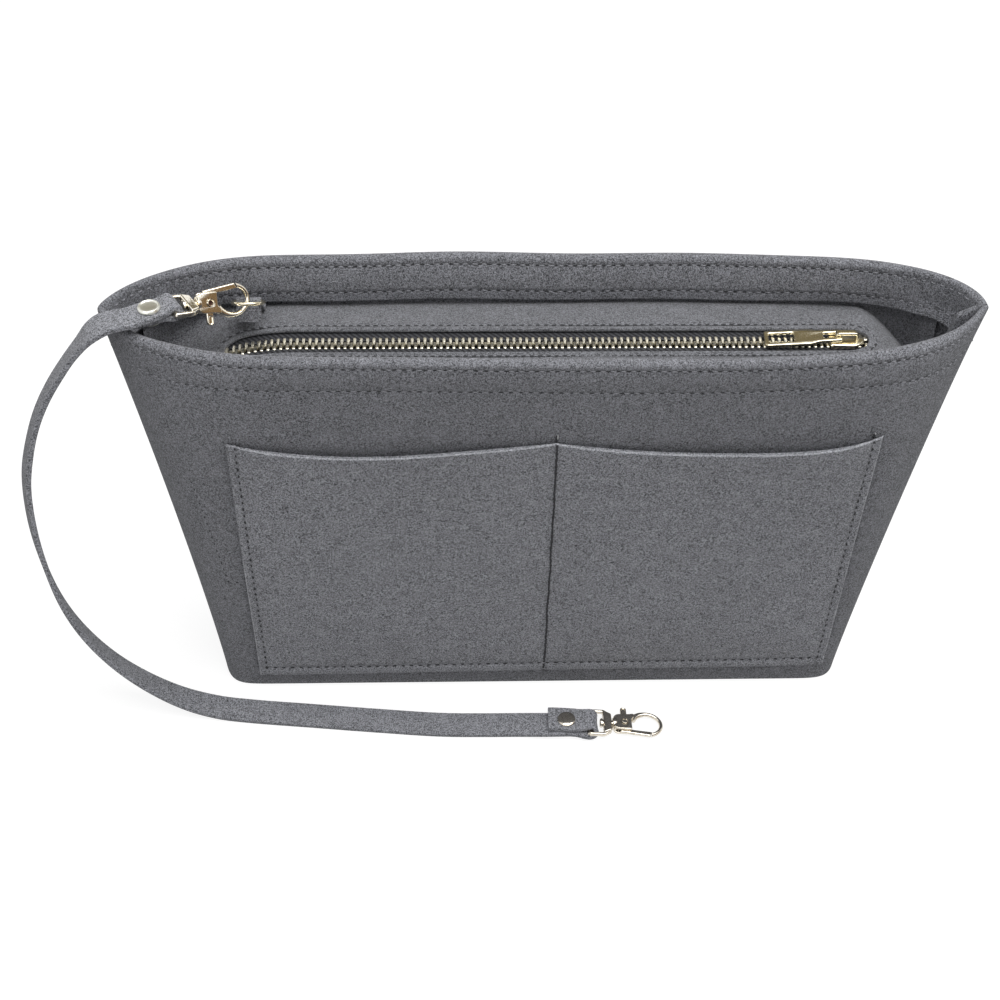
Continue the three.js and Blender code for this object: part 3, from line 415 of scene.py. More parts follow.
class Effects:
    """Shader node groups that several finishes share."""

    def __init__(self) -> None:
        """Builds the groups once."""
        self.fibre = self.felt_fibre()
        self.wear = self.plating_wear()
        self.weave = self.tape_weave()

    @staticmethod
    def felt_fibre() -> bpy.types.NodeTree:
        """Pressed fibres: cloudy tone, fine grain and a few pale hairs."""
        tree, desk, given, out = group_of(
            "felt_fibre",
            [("Vector", VECTOR), ("Dark", COLOUR), ("Light", COLOUR), ("Hair", COLOUR), ("Grain", VALUE)],
            [("Color", COLOUR), ("Height", VALUE)])
        place = given["Vector"]
        cloud = desk.add("ShaderNodeTexNoise", {"Vector": place, "Scale": 170.0, "Detail": 2.0})
        coarse = desk.add("ShaderNodeTexNoise", {"Vector": place, "Scale": 1000.0, "Detail": 1.0})
        fine = desk.add("ShaderNodeTexNoise", {"Vector": place, "Scale": 2100.0, "Detail": 2.0, "Roughness": 0.6})
        hairs = desk.add("ShaderNodeTexNoise", {"Vector": place, "Scale": 560.0, "Detail": 2.0, "Distortion": 3.2})
        grain = desk.maths("ADD", desk.maths("MULTIPLY", desk.ranged(fine.outputs[0], 0.4, 0.6), 0.7),
                           desk.maths("MULTIPLY", desk.ranged(coarse.outputs[0], 0.36, 0.64), 0.3))
        clouds = desk.ranged(cloud.outputs[0], 0.3, 0.7)
        tone = desk.maths("ADD", desk.maths("MULTIPLY", grain, 0.92), desk.maths("MULTIPLY", clouds, 0.08))
        line = desk.maths("ABSOLUTE", desk.maths("SUBTRACT", hairs.outputs[0], 0.5))
        hair = desk.ranged(line, 0.0, 0.022, 1.0, 0.0)
        sparse = desk.ranged(cloud.outputs[0], 0.52, 0.66)
        hair_mask = desk.maths("MULTIPLY", desk.maths("MULTIPLY", hair, sparse), 0.4)
        body = desk.mixed(tone, given["Dark"], given["Light"])
        desk.tree.links.new(desk.mixed(hair_mask, body, given["Hair"]), out["Color"])
        height = desk.maths("ADD", desk.maths("MULTIPLY", grain, given["Grain"]),
                            desk.maths("MULTIPLY", clouds, 0.1))
        desk.tree.links.new(desk.maths("ADD", height, desk.maths("MULTIPLY", hair, 0.2)), out["Height"])
        return tree

    @staticmethod
    def plating_wear() -> bpy.types.NodeTree:
        """Polished plating: faint smudges, fine pits and small tone changes."""
        tree, desk, given, out = group_of(
            "plating_wear",
            [("Vector", VECTOR), ("Bright", COLOUR), ("Tarnish", COLOUR), ("Polish", VALUE), ("Haze", VALUE)],
            [("Color", COLOUR), ("Roughness", VALUE), ("Height", VALUE)])
        place = given["Vector"]
        smudge = desk.add("ShaderNodeTexNoise", {"Vector": place, "Scale": 300.0, "Detail": 3.0})
        speck = desk.add("ShaderNodeTexNoise", {"Vector": place, "Scale": 2200.0, "Detail": 2.0})
        dull = desk.ranged(smudge.outputs[0], 0.42, 0.72)
        pits = desk.ranged(speck.outputs[0], 0.56, 0.74)
        shade = desk.maths("ADD", desk.maths("MULTIPLY", dull, 0.55), desk.maths("MULTIPLY", pits, 0.3))
        desk.tree.links.new(desk.mixed(shade, given["Bright"], given["Tarnish"]), out["Color"])
        rough = desk.maths("ADD", given["Polish"], desk.maths("MULTIPLY", dull, given["Haze"]))
        desk.tree.links.new(desk.maths("ADD", rough, desk.maths("MULTIPLY", pits, 0.06)), out["Roughness"])
        desk.tree.links.new(desk.maths("ADD", smudge.outputs[0], desk.maths("MULTIPLY", pits, 0.2)), out["Height"])
        return tree

    @staticmethod
    def tape_weave() -> bpy.types.NodeTree:
        """Close twill ribs that run aslant, with a little yarn variation."""
        tree, desk, given, out = group_of(
            "tape_weave",
            [("Vector", VECTOR), ("Dark", COLOUR), ("Light", COLOUR), ("Ribs", VALUE)],
            [("Color", COLOUR), ("Height", VALUE)])
        ribs = desk.add("ShaderNodeTexWave", {"Vector": given["Vector"], "Scale": given["Ribs"], "Distortion": 0.6,
                                              "Detail": 1.0, "Detail Scale": 2.0},
                        wave_type="BANDS", bands_direction="DIAGONAL")
        yarn = desk.add("ShaderNodeTexNoise", {"Vector": given["Vector"], "Scale": 1500.0, "Detail": 2.0})
        tone = desk.maths("MULTIPLY", ribs.outputs[1], desk.ranged(yarn.outputs[0], 0.25, 0.75, 0.5, 1.0))
        desk.tree.links.new(desk.mixed(tone, given["Dark"], given["Light"]), out["Color"])
        desk.tree.links.new(tone, out["Height"])
        return tree


@dataclass(frozen=True)
class FeltFinish:
    """Pressed felt: its colours and how strongly the fibres stand out."""

    name: str
    dark: tuple[float, float, float] = (0.028, 0.0286, 0.0312)
    light: tuple[float, float, float] = (0.342, 0.348, 0.38)
    hair: tuple[float, float, float] = (0.4, 0.406, 0.435)
    grain: float = 1.0
    relief: float = 0.55

    def material(self, effects: Effects) -> bpy.types.Material:
        """Builds the material from the shared fibre effect."""
        material = bpy.data.materials.new(self.name)
        material.use_nodes = True
        desk = ShaderDesk(material.node_tree)
        shader = material.node_tree.nodes["Principled BSDF"]
        place = desk.add("ShaderNodeTexCoord").outputs["Object"]
        fibre = desk.add("ShaderNodeGroup", node_tree=effects.fibre)
        desk.tree.links.new(place, fibre.inputs["Vector"])
        for label, colour in (("Dark", self.dark), ("Light", self.light), ("Hair", self.hair)):
            fibre.inputs[label].default_value = (*colour, 1.0)
        fibre.inputs["Grain"].default_value = self.grain
        bump = desk.add("ShaderNodeBump", {"Strength": self.relief, "Distance": 0.0006,
                                           "Height": fibre.outputs["Height"]})
        desk.tree.links.new(fibre.outputs["Color"], shader.inputs["Base Color"])
        desk.tree.links.new(bump.outputs[0], shader.inputs["Normal"])
        shader.inputs["Roughness"].default_value = 0.94
        shader.inputs["Specular IOR Level"].default_value = 0.18
        shader.inputs["Sheen Weight"].default_value = 0.16
        shader.inputs["Sheen Roughness"].default_value = 0.6
        return material


@dataclass(frozen=True)
class MetalFinish:
    """Plated zinc: its colours and polish."""

    name: str
    bright: tuple[float, float, float]
    tarnish: tuple[float, float, float]
    polish: float = 0.14
    haze: float = 0.14

    def material(self, effects: Effects) -> bpy.types.Material:
        """Builds the material from the shared wear effect."""
        material = bpy.data.materials.new(self.name)
        material.use_nodes = True
        desk = ShaderDesk(material.node_tree)
        shader = material.node_tree.nodes["Principled BSDF"]
        place = desk.add("ShaderNodeTexCoord").outputs["Object"]
        wear = desk.add("ShaderNodeGroup", node_tree=effects.wear)
        desk.tree.links.new(place, wear.inputs["Vector"])
        wear.inputs["Bright"].default_value = (*self.bright, 1.0)
        wear.inputs["Tarnish"].default_value = (*self.tarnish, 1.0)
        wear.inputs["Polish"].default_value = self.polish
        wear.inputs["Haze"].default_value = self.haze
        bump = desk.add("ShaderNodeBump", {"Strength": 0.12, "Distance": 0.0003, "Height": wear.outputs["Height"]})
        desk.tree.links.new(wear.outputs["Color"], shader.inputs["Base Color"])
        desk.tree.links.new(wear.outputs["Roughness"], shader.inputs["Roughness"])
        desk.tree.links.new(bump.outputs[0], shader.inputs["Normal"])
        shader.inputs["Metallic"].default_value = 1.0
        return material


@dataclass(frozen=True)
class YarnFinish:
    """Woven tape or twisted thread: its colours and the closeness of its ribs."""

    name: str
    dark: tuple[float, float, float]
    light: tuple[float, float, float]
    ribs: float = 260.0
    relief: float = 0.6

    def material(self, effects: Effects) -> bpy.types.Material:
        """Builds the material from the shared weave effect."""
        material = bpy.data.materials.new(self.name)
        material.use_nodes = True
        desk = ShaderDesk(material.node_tree)
        shader = material.node_tree.nodes["Principled BSDF"]
        place = desk.add("ShaderNodeTexCoord").outputs["Object"]
        weave = desk.add("ShaderNodeGroup", node_tree=effects.weave)
        desk.tree.links.new(place, weave.inputs["Vector"])
        weave.inputs["Dark"].default_value = (*self.dark, 1.0)
        weave.inputs["Light"].default_value = (*self.light, 1.0)
        weave.inputs["Ribs"].default_value = self.ribs
        bump = desk.add("ShaderNodeBump", {"Strength": self.relief, "Distance": 0.0003,
                                           "Height": weave.outputs["Height"]})
        desk.tree.links.new(weave.outputs["Color"], shader.inputs["Base Color"])
        desk.tree.links.new(bump.outputs[0], shader.inputs["Normal"])
        shader.inputs["Roughness"].default_value = 0.8
        shader.inputs["Specular IOR Level"].default_value = 0.25
        return material


class Finishes:
    """All materials of the insert, built once."""

    def __init__(self) -> None:
        """Builds the shared effects and the materials."""
        effects = Effects()
        self.felt = FeltFinish("grey_felt").material(effects)
        self.pocket_felt = FeltFinish("pocket_felt", (0.022, 0.0224, 0.0244), (0.462, 0.47, 0.511)).material(effects)
        self.flap_felt = FeltFinish("flap_felt", (0.033, 0.0336, 0.0368), (0.268, 0.273, 0.297)).material(effects)
        # Lighter felt for the pocket's cut edges: a painted highlight where the edges would catch the light.
        self.painted_edge_highlight_felt = FeltFinish("painted_cut_edge_highlight", (0.16, 0.163, 0.177), (0.6, 0.61, 0.655)).material(effects)
        # Near-black discs at each needle hole: painted shade of the holes and of the groove between stitches.
        self.painted_hole_shade = FeltFinish("painted_hole_shade", (0.016, 0.016, 0.018), (0.045, 0.045, 0.05),
                                      (0.06, 0.06, 0.065)).material(effects)
        self.thread = YarnFinish("grey_thread", (0.17, 0.172, 0.185), (0.42, 0.426, 0.455), 900.0,
                                 0.4).material(effects)
        # Near-black thread for stitches that sink into the felt: painted shade of the grooves they lie in.
        self.painted_shade_thread = YarnFinish("sunk_thread_painted_shade", (0.03, 0.03, 0.033), (0.085, 0.086, 0.092), 900.0,
                                      0.4).material(effects)
        self.pale_thread = YarnFinish("thread_end", (0.34, 0.342, 0.352), (0.6, 0.602, 0.615), 900.0,
                                      0.4).material(effects)
        self.tape = YarnFinish("zip_tape_twill", (0.012, 0.012, 0.014), (0.075, 0.076, 0.084)).material(effects)
        self.gold = MetalFinish("pale_gold_plating", (0.88, 0.81, 0.63), (0.6, 0.53, 0.37), 0.1,
                                0.1).material(effects)
        self.clasp_gold = MetalFinish("clasp_plating", (0.95, 0.9, 0.79), (0.74, 0.66, 0.5), 0.08,
                                      0.08).material(effects)
        self.silver = MetalFinish("rivet_plating", (0.9, 0.9, 0.83), (0.7, 0.69, 0.61), 0.3,
                                  0.1).material(effects)
        self.tooth_gold = MetalFinish("tooth_gold_plating", (0.97, 0.93, 0.8), (0.8, 0.73, 0.55), 0.24,
                                      0.16).material(effects)
        self.nickel = MetalFinish("dark_nickel_plating", (0.74, 0.69, 0.6), (0.42, 0.37, 0.3), 0.08,
                                  0.1).material(effects)
        self.steel = MetalFinish("spring_steel_satin", (0.5, 0.5, 0.51), (0.34, 0.33, 0.33), 0.3).material(effects)
        # Dark plug for the clasp pin's bore: painted shade where the open tube would look dark inside.
        self.painted_bore_shade = MetalFinish("pin_bore_painted_shade", (0.09, 0.05, 0.04), (0.03, 0.018, 0.016), 0.4).material(effects)


class Bench:
    """Turns shapes into pieces that ride on the frame's bodies."""

    def __init__(self, frame: dict) -> None:
        """Keeps the loaded frame."""
        self.frame = frame

    def piece(self, name: str, shape: Shape, material: bpy.types.Material, slot: Slot, body: str = "insert",
              stands_for: Sequence[str] = (), crease: float = 38.0, cut: bpy.types.Material | None = None,
              painted_highlight_at: Callable[[np.ndarray], np.ndarray] | None = None) -> bpy.types.Object:
        """Makes one piece.

        Args:
            name: name of the piece.
            shape: its shape in millimetres.
            material: its material.
            slot: the record's slot that the finish belongs to; not used.
            body: the body that it rides on.
            stands_for: CAD nodes that it replaces.
            crease: edges sharper than this many degrees stay crisp.
            cut: lighter material painted on the cut edges as a highlight, where it differs from the rest.
            painted_highlight_at: function that says which face middles, in millimetres, are on a cut edge.

        Returns:
            The piece.
        """
        mesh = bpy.data.meshes.new(name)
        mesh.from_pydata((shape.points * MM).tolist(), [], shape.faces)
        work = bmesh.new()
        work.from_mesh(mesh)
        bmesh.ops.remove_doubles(work, verts=work.verts, dist=1e-7)
        bmesh.ops.recalc_face_normals(work, faces=work.faces)
        work.to_mesh(mesh)
        work.free()
        mesh.polygons.foreach_set("use_smooth", [True] * len(mesh.polygons))
        mesh.set_sharp_from_angle(angle=math.radians(crease))
        mesh.materials.append(material)
        if cut and painted_highlight_at:
            mesh.materials.append(cut)
            middles = np.array([polygon.center[:] for polygon in mesh.polygons]) / MM
            mesh.polygons.foreach_set("material_index", painted_highlight_at(middles).astype(np.int32))
        made = bpy.data.objects.new(name, mesh)
        bpy.context.scene.collection.objects.link(made)
        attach(made, body)
        if stands_for:
            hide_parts(*stands_for)
        LOG.info("%s: %d faces on %s", name, len(mesh.polygons), body)
        return made

    def joint(self, name: str) -> dict:
        """Returns one joint of the record by name."""
        return next(joint for joint in self.frame["joints"] if joint["name"] == name)


@dataclass(frozen=True)
class BodyPlan:
    """Driving sizes of the sewn felt body, in millimetres."""

    mouth_length: float = 344.0
    mouth_depth: float = 69.0
    base_length: float = 283.4
    base_depth: float = 52.0
    height: float = 198.0
    felt: float = 2.4
    mouth_squareness: float = 7.4
    back_right_squareness: float = 4.7
    back_right_rounding: float = 0.5
    left_squareness: float = 5.7
    left_rounding: float = 0.75
    base_squareness: float = 40.0
    squareness_fade: float = 0.6
    base_rounding: float = 0.6
    end_pinch: float = 1.9
    pinch_rise: float = 0.85
    gap: float = 0.3
    hem_depth: float = 19.2
    hem_overlap: float = 6.0
    flap_felt: float = 1.8
    flap_length: float = 300.0
    slot_run_out: float = 10.0
    waves: SoftWaves = SoftWaves(11, 105.0, 0.75)
    rim_waves: SoftWaves = SoftWaves(23, 120.0, 0.45)

    @property
    def hem_edge(self) -> float:
        """Height of the hem's lower edge."""
        return self.height - self.hem_depth

    @property
    def slot_top(self) -> float:
        """Height where the slot between wall and hem begins to close."""
        return self.hem_edge + self.hem_overlap + self.gap

    def rise(self, z: np.ndarray) -> np.ndarray:
        """Share of the body's height."""
        return np.clip(np.asarray(z, dtype=float) / self.height, 0.0, 1.0)

    def half_length(self, z: np.ndarray) -> np.ndarray:
        """Half the outside length at a height, with the pinch of the side seams."""
        rise = self.rise(z)
        pinch = self.end_pinch * np.sin(np.pi * rise**self.pinch_rise)
        return (self.base_length + (self.mouth_length - self.base_length) * rise) / 2 - pinch

    def end_ease(self, z: np.ndarray) -> np.ndarray:
        """How much further the ends step in than the long sides, for an inset at a height."""
        mouth = math.hypot(1, self.mouth_length / (self.mouth_depth * self.mouth_squareness))
        return 1 + (mouth - 1) * self.rise(z)

    def reach(self, side: Side, share: np.ndarray, z: np.ndarray, inset: np.ndarray | float) -> np.ndarray:
        """Distance of a wall from the middle plane at a share of its half length."""
        rise = self.rise(z)
        half_depth = (self.base_depth + (self.mouth_depth - self.base_depth) * rise) / 2
        blunt = np.logical_and(side is Side.BACK, np.asarray(share) > 0)
        left = np.asarray(share) < 0
        mouth = np.where(blunt, self.back_right_squareness,
                         np.where(left, self.left_squareness, self.mouth_squareness))
        squareness = self.base_squareness + (mouth - self.base_squareness) * rise**self.squareness_fade
        open_rounding = np.where(blunt, self.back_right_rounding, np.where(left, self.left_rounding, 1.0))
        rounding = self.base_rounding + (open_rounding - self.base_rounding) * rise
        fall = (1 - np.minimum(np.abs(share), 1.0) ** squareness) ** rounding
        return self.gap / 2 + (half_depth - inset - self.gap / 2) * fall

    def drift(self, share: np.ndarray, x: np.ndarray, z: np.ndarray) -> np.ndarray:
        """Slow outward waves of the walls, gone at the base and at both ends."""
        return self.waves.at(x, z) * ease(z, 4.0, 60.0) * (1 - np.abs(share) ** 5)

    def lift(self, x: np.ndarray, z: np.ndarray) -> np.ndarray:
        """Slow rise and fall of the rim, gone below the pocket."""
        return self.rim_waves.at(x) * ease(z, 120.0, 190.0)

    def point(self, side: Side, share: np.ndarray, z: np.ndarray, inset: np.ndarray | float,
              out: np.ndarray | float = 0.0) -> np.ndarray:
        """Point of a wall.

        Args:
            side: front or back.
            share: share of the half length, from -1 to 1.
            z: height.
            inset: distance in from the wall's outside.
            out: further distance out from the middle plane.

        Returns:
            The points, coordinates last.
        """
        x = share * (self.half_length(z) - self.end_ease(z) * inset)
        y = side.value * (self.reach(side, share, z, inset) + self.drift(share, x, z) + out)
        return np.stack(np.broadcast_arrays(x, y, z + self.lift(x, np.asarray(z))), axis=-1)

    def wall_reach(self, side: Side, x: np.ndarray, z: np.ndarray, inset: np.ndarray | float) -> np.ndarray:
        """Distance of a waved wall from the middle plane at a given x."""
        share = np.clip(x / (self.half_length(z) - self.end_ease(z) * inset), -1, 1)
        return self.reach(side, share, z, inset) + self.drift(share, np.asarray(x), np.asarray(z))

    def hem_slot(self, x: float) -> float:
        """Width of the slot between wall and hem: the flap's room, closed towards the ends."""
        past = (abs(x) - self.flap_length / 2) / self.slot_run_out - 0.5
        room = self.flap_felt + 2 * self.gap
        return float(room + (self.gap - room) * ease(past, 0.0, 1.0))


class Thread(Enum):
    """How the thread of a row shows: level with the felt, sunk into it and coloured dark as painted shade, or as a
    loose pale end.
    """

    LEVEL = "level"
    SUNK = "sunk"
    LOOSE = "loose"


@dataclass
class StitchRow:
    """One row of machine stitches on a felt face."""

    line: np.ndarray
    normals: np.ndarray
    pitch: float = 3.8
    seed: int = 1
    thread: Thread = Thread.LEVEL
    # Half sizes of the dark disc painted as the shade of each needle hole.
    hole: Flat = (1.0, 0.44)


@dataclass
class Stitching:
    """All sewing thread, collected from the felt pieces and made by kind."""

    thread_radius: float = 0.3
    stitch_share: float = 0.5
    sunk_share: float = 0.86
    crown: float = 0.36
    sunk: float = 0.1
    sunk_thickness: float = 1.5
    sunk_tilt: float = 2.6
    rows: list[StitchRow] = field(default_factory=list)

    def stitch(self) -> np.ndarray:
        """Rings of one bent stitch of length 1 along X."""
        turns = np.linspace(0, 2 * math.pi, 6, endpoint=False)
        rings = []
        for share in np.linspace(0, 1, 7):
            thick = self.thread_radius * (0.55 + 0.45 * math.sin(math.pi * share))
            height = self.crown * math.sin(math.pi * share) - self.sunk
            rings.append([(share - 0.5, thick * math.cos(turn), height + thick * math.sin(turn)) for turn in turns])
        return np.array(rings)

    @staticmethod
    def hole(spot: np.ndarray, along: np.ndarray, up: np.ndarray, half: Flat) -> Shape:
        """Builds the dark disc of painted shade in one needle hole, drawn out along its row."""
        turns = np.linspace(0, 2 * math.pi, 10, endpoint=False)
        side = np.cross(up, along)
        rim = [spot + up * 0.16 + half[0] * math.cos(turn) * along + half[1] * math.sin(turn) * side for turn in turns]
        points = np.array([*rim, spot])
        return Shape(points, [(step, (step + 1) % 10, 10) for step in range(10)])

    def build(self, bench: Bench, finishes: Finishes) -> None:
        """Makes the stitches and the dark discs of painted shade in the needle holes between them."""
        base = self.stitch()
        stitches: dict[Thread, list[Shape]] = {kind: [] for kind in Thread}
        holes: list[Shape] = []
        for row in self.rows:
            chance = random.Random(row.seed)
            steps = np.linalg.norm(np.diff(row.line, axis=0), axis=1)
            run = np.concatenate(([0.0], np.cumsum(steps)))
            count = max(1, round(run[-1] / row.pitch))
            marks = np.linspace(0, run[-1], count + 1)
            spots = np.stack([np.interp(marks, run, row.line[:, axis]) for axis in range(3)], axis=1)
            ups = np.stack([np.interp(marks, run, row.normals[:, axis]) for axis in range(3)], axis=1)
            share = self.stitch_share if row.thread is Thread.LEVEL else self.sunk_share
            for start, end, up_start, up_end in zip(spots[:-1], spots[1:], ups[:-1], ups[1:]):
                along = unit(end - start)
                up = across_of(up_start + up_end, along)
                side = np.cross(up, along)
                tilt = chance.uniform(-0.08, 0.08) * (self.sunk_tilt if row.thread is Thread.SUNK else 1.0)
                along, side = along + side * tilt, side - along * tilt
                length = np.linalg.norm(end - start) * share * chance.uniform(0.94, 1.05)
                thick = self.sunk_thickness if row.thread is Thread.SUNK else 1.0
                local = base * np.array([length, thick, 1.0])
                stitches[row.thread].append(Shape.loft((start + end) / 2 + local @ np.stack([along, side, up])))
            ways = np.gradient(spots, axis=0)
            for spot, up, way in zip(spots, ups, ways):
                up = unit(up)
                size = chance.uniform(0.85, 1.2)
                holes.append(self.hole(spot, across_of(way, up), up, (row.hole[0] * size, row.hole[1] * size)))
        # The sunk rows take the dark thread of painted shade.
        for kind, name, material in ((Thread.LEVEL, "sewing_thread", finishes.thread),
                                     (Thread.SUNK, "sunk_thread_painted_shade", finishes.painted_shade_thread),
                                     (Thread.LOOSE, "thread_ends", finishes.pale_thread)):
            bench.piece(name, Shape.joined(stitches[kind]), material, Slot.FELT)
        # The dark discs painted as the needle holes' shade.
        bench.piece("painted_hole_shades", Shape.joined(holes), finishes.painted_hole_shade, Slot.FELT)


def sheet_normals(place: Callable[[np.ndarray, np.ndarray], np.ndarray], first: np.ndarray, second: np.ndarray,
                  steps: Flat = (0.001, 0.2)) -> np.ndarray:
    """Normals of a surface given by a function of two places.

    Args:
        place: function that gives the surface's points.
        first: first places.
        second: second places.
        steps: step of each place for the slopes.

    Returns:
        Unit normals, to the left of the first way seen along the second.
    """
    along = place(first + steps[0], second) - place(first - steps[0], second)
    up = place(first, second + steps[1]) - place(first, second - steps[1])
    normals = np.cross(along, up)
    return normals / np.linalg.norm(normals, axis=-1, keepdims=True)


@dataclass
class FeltBody:
    """Front and back walls with their turned and sewn rim, and the base between their feet."""

    plan: BodyPlan
    stations: int = 190
    crowding: float = 1.5
    row_drops: tuple[float, float] = (3.6, 14.6)
    groove: float = 0.34
    groove_width: float = 0.75
    puff: float = 0.35
    seam_allowance: float = 7.0
    rim_pinch: float = 0.42
    tuck_reach: float = 6.5
    # Half sizes of the painted hole shades on the rim's rows.
    rim_hole_shade: Flat = (0.85, 0.3)

    def shares(self) -> np.ndarray:
        """Shares of the half length from end to end, closer together near the ends."""
        even = np.linspace(-1, 1, self.stations)
        return np.sign(even) * (1 - (1 - np.abs(even)) ** self.crowding)

    def relief(self, z: np.ndarray) -> np.ndarray:
        """Grooves pressed in by the rim's stitch rows, and the felt that swells between them."""
        total = np.zeros_like(np.asarray(z, dtype=float))
        for drop in self.row_drops:
            total -= self.groove * np.exp(-(((z - self.plan.height + drop) / self.groove_width) ** 2))
        middle = self.plan.height - sum(self.row_drops) / 2
        return total + self.puff * np.exp(-(((z - middle) / 3.6) ** 2))

    def outer(self, side: Side) -> Callable[[np.ndarray, np.ndarray], np.ndarray]:
        """Returns the outside face of a wall as a function of share and height."""
        return lambda share, z: self.plan.point(side, share, z, 0.0, self.relief(z))

    def hem_inset(self, share: np.ndarray, z: np.ndarray) -> np.ndarray:
        """Inset of the hem's visible face at a height."""
        plan = self.plan
        radius = plan.felt + plan.gap / 2
        top = plan.height - radius
        slot = np.vectorize(lambda part: plan.hem_slot(float(part) * float(plan.half_length(plan.hem_edge))))(share)
        wide = 2 * plan.felt + slot
        rise = np.clip((np.asarray(z) - plan.slot_top) / (top - plan.slot_top), 0, 1)
        return wide + (2 * radius - wide) * rise

    def hem(self, side: Side) -> Callable[[np.ndarray, np.ndarray], np.ndarray]:
        """Returns the hem's inside face as a function of share and height."""
        def face(share: np.ndarray, z: np.ndarray) -> np.ndarray:
            inset = self.hem_inset(share, z) * self.pinched(share, z)
            return self.plan.point(side, share, z, inset, -self.relief(z))

        return face

    def pinched(self, share: np.ndarray, z: np.ndarray) -> np.ndarray:
        """Share of the rim's thickness that is left where both ends are pinched together."""
        near_end = ease(np.abs(share), 0.82, 0.985)
        return 1 - self.rim_pinch * near_end * ease(z, self.plan.hem_edge - 2.0, self.plan.hem_edge + 8.0)

    def tuck(self, end: int) -> Shape:
        """Lumpy edges of the sewn hem that stand in from the side seam at one end of the rim."""
        plan = self.plan
        lumps = SoftWaves(37 + end, 5.0, 0.45)
        rings = []
        for run in np.linspace(0.0, self.tuck_reach, 18):
            middle = 1.6 + 0.37 * run + 0.5 * float(lumps.at(run, 9.0))
            half = 1.5 + 0.4 * float(lumps.at(run))
            top = plan.height - 1.4 - 1.1 * run + 0.7 * float(lumps.at(run, 23.0))
            corners = [(middle - half, plan.hem_edge - 2.0), (middle + half, plan.hem_edge - 2.0),
                       (middle + half, top), (middle - half, top)]
            rings.append([(end * (float(plan.half_length(z)) - 2.4 - run), y, z) for y, z in rounded(corners, 1.2, 4)])
        return Shape.loft(np.array(rings))

    def section(self, slot: float) -> tuple[np.ndarray, np.ndarray, np.ndarray]:
        """Section of a wall at one place.

        Args:
            slot: width of the slot between wall and hem there.

        Returns:
            Insets, heights and the share of the relief, outwards positive, round the section.
        """
        plan = self.plan
        radius = plan.felt + plan.gap / 2
        top = plan.height - radius
        low = np.concatenate((np.linspace(0.0, 0.9, 4), np.linspace(4.0, 172.0, 44)))
        fine = np.linspace(174.0, top, 60)
        insets: list[float] = []
        heights: list[float] = []
        shares: list[float] = []

        def add(inset: float, height: float, share: float = 0.0) -> None:
            insets.append(inset)
            heights.append(height)
            shares.append(share)

        for z in np.concatenate((low, fine)):
            add(float(edge_fall(z, 0.9)), float(z), 1.0)
        for turn in np.linspace(math.pi, 0, 13)[1:-1]:
            add(radius * (1 + math.cos(turn)), top + radius * math.sin(turn))
        wide = 2 * plan.felt + slot
        for z in np.linspace(top, plan.hem_edge + 0.9, 50):
            rise = min(1.0, max(0.0, (z - plan.slot_top) / (top - plan.slot_top)))
            add(wide + (2 * radius - wide) * rise, float(z), -1.0)
        for turn in np.linspace(0, math.pi, 9):
            add(wide - plan.felt / 2 + plan.felt / 2 * math.cos(turn), plan.hem_edge + 0.9 - 0.9 * math.sin(turn))
        add(plan.felt + slot, plan.slot_top)
        add(plan.felt + plan.gap, top)
        for z in np.linspace(top, 0.9, 40):
            add(plan.felt, float(z))
        add(plan.felt - 0.5, 0.0)
        return np.array(insets), np.array(heights), np.array(shares)

    def wall(self, side: Side) -> Shape:
        """Builds one wall with its hem and its sewn-in side edges."""
        plan = self.plan
        rings = []
        for share in self.shares():
            slot = plan.hem_slot(float(share) * float(plan.half_length(plan.hem_edge)))
            insets, heights, relief = self.section(slot)
            insets = insets * self.pinched(share, heights)
            flat_end = 1 - abs(share) ** 9
            rings.append(plan.point(side, share, heights, insets, relief * self.relief(heights) * flat_end))
        return Shape.joined([Shape.loft(np.array(rings)), self.seam_edge(side, 1), self.seam_edge(side, -1)])

    def seam_edge(self, side: Side, end: int) -> Shape:
        """Sewn-in edge of a wall inside one side seam."""
        plan = self.plan
        lean = SoftWaves(31 + side.value + 5 * end, 70.0, 0.5)
        rings = []
        for z in np.linspace(plan.felt + plan.gap, plan.hem_edge - plan.gap, 48):
            outer = float(plan.half_length(z)) - float(plan.end_ease(z)) * plan.felt
            inner = outer - self.seam_allowance + float(lean.at(z))
            near, far = plan.gap / 2, plan.gap / 2 + plan.felt
            corners = [(outer + 1.0, near), (inner, near), (inner, far), (outer + 1.0, far)]
            rings.append([(end * x, side.value * y, z) for x, y in rounded(corners, 0.5, 2)])
        return Shape.loft(np.array(rings))

    def base(self) -> Shape:
        """Builds the base panel with rounded cut edges."""
        plan = self.plan
        rings = []
        for z, extra in ((0.0, 0.5), (0.15, 0.2), (0.5, 0.0), (plan.felt - 0.5, 0.0), (plan.felt - 0.15, 0.2),
                         (plan.felt, 0.5)):
            inset = plan.felt + plan.gap + extra
            shares = self.shares()[::2]
            front = plan.point(Side.FRONT, shares, np.full_like(shares, z), inset)
            back = plan.point(Side.BACK, shares[::-1], np.full_like(shares, z), inset)
            rings.append(np.concatenate((front, back)))
        return Shape.loft(np.array(rings))

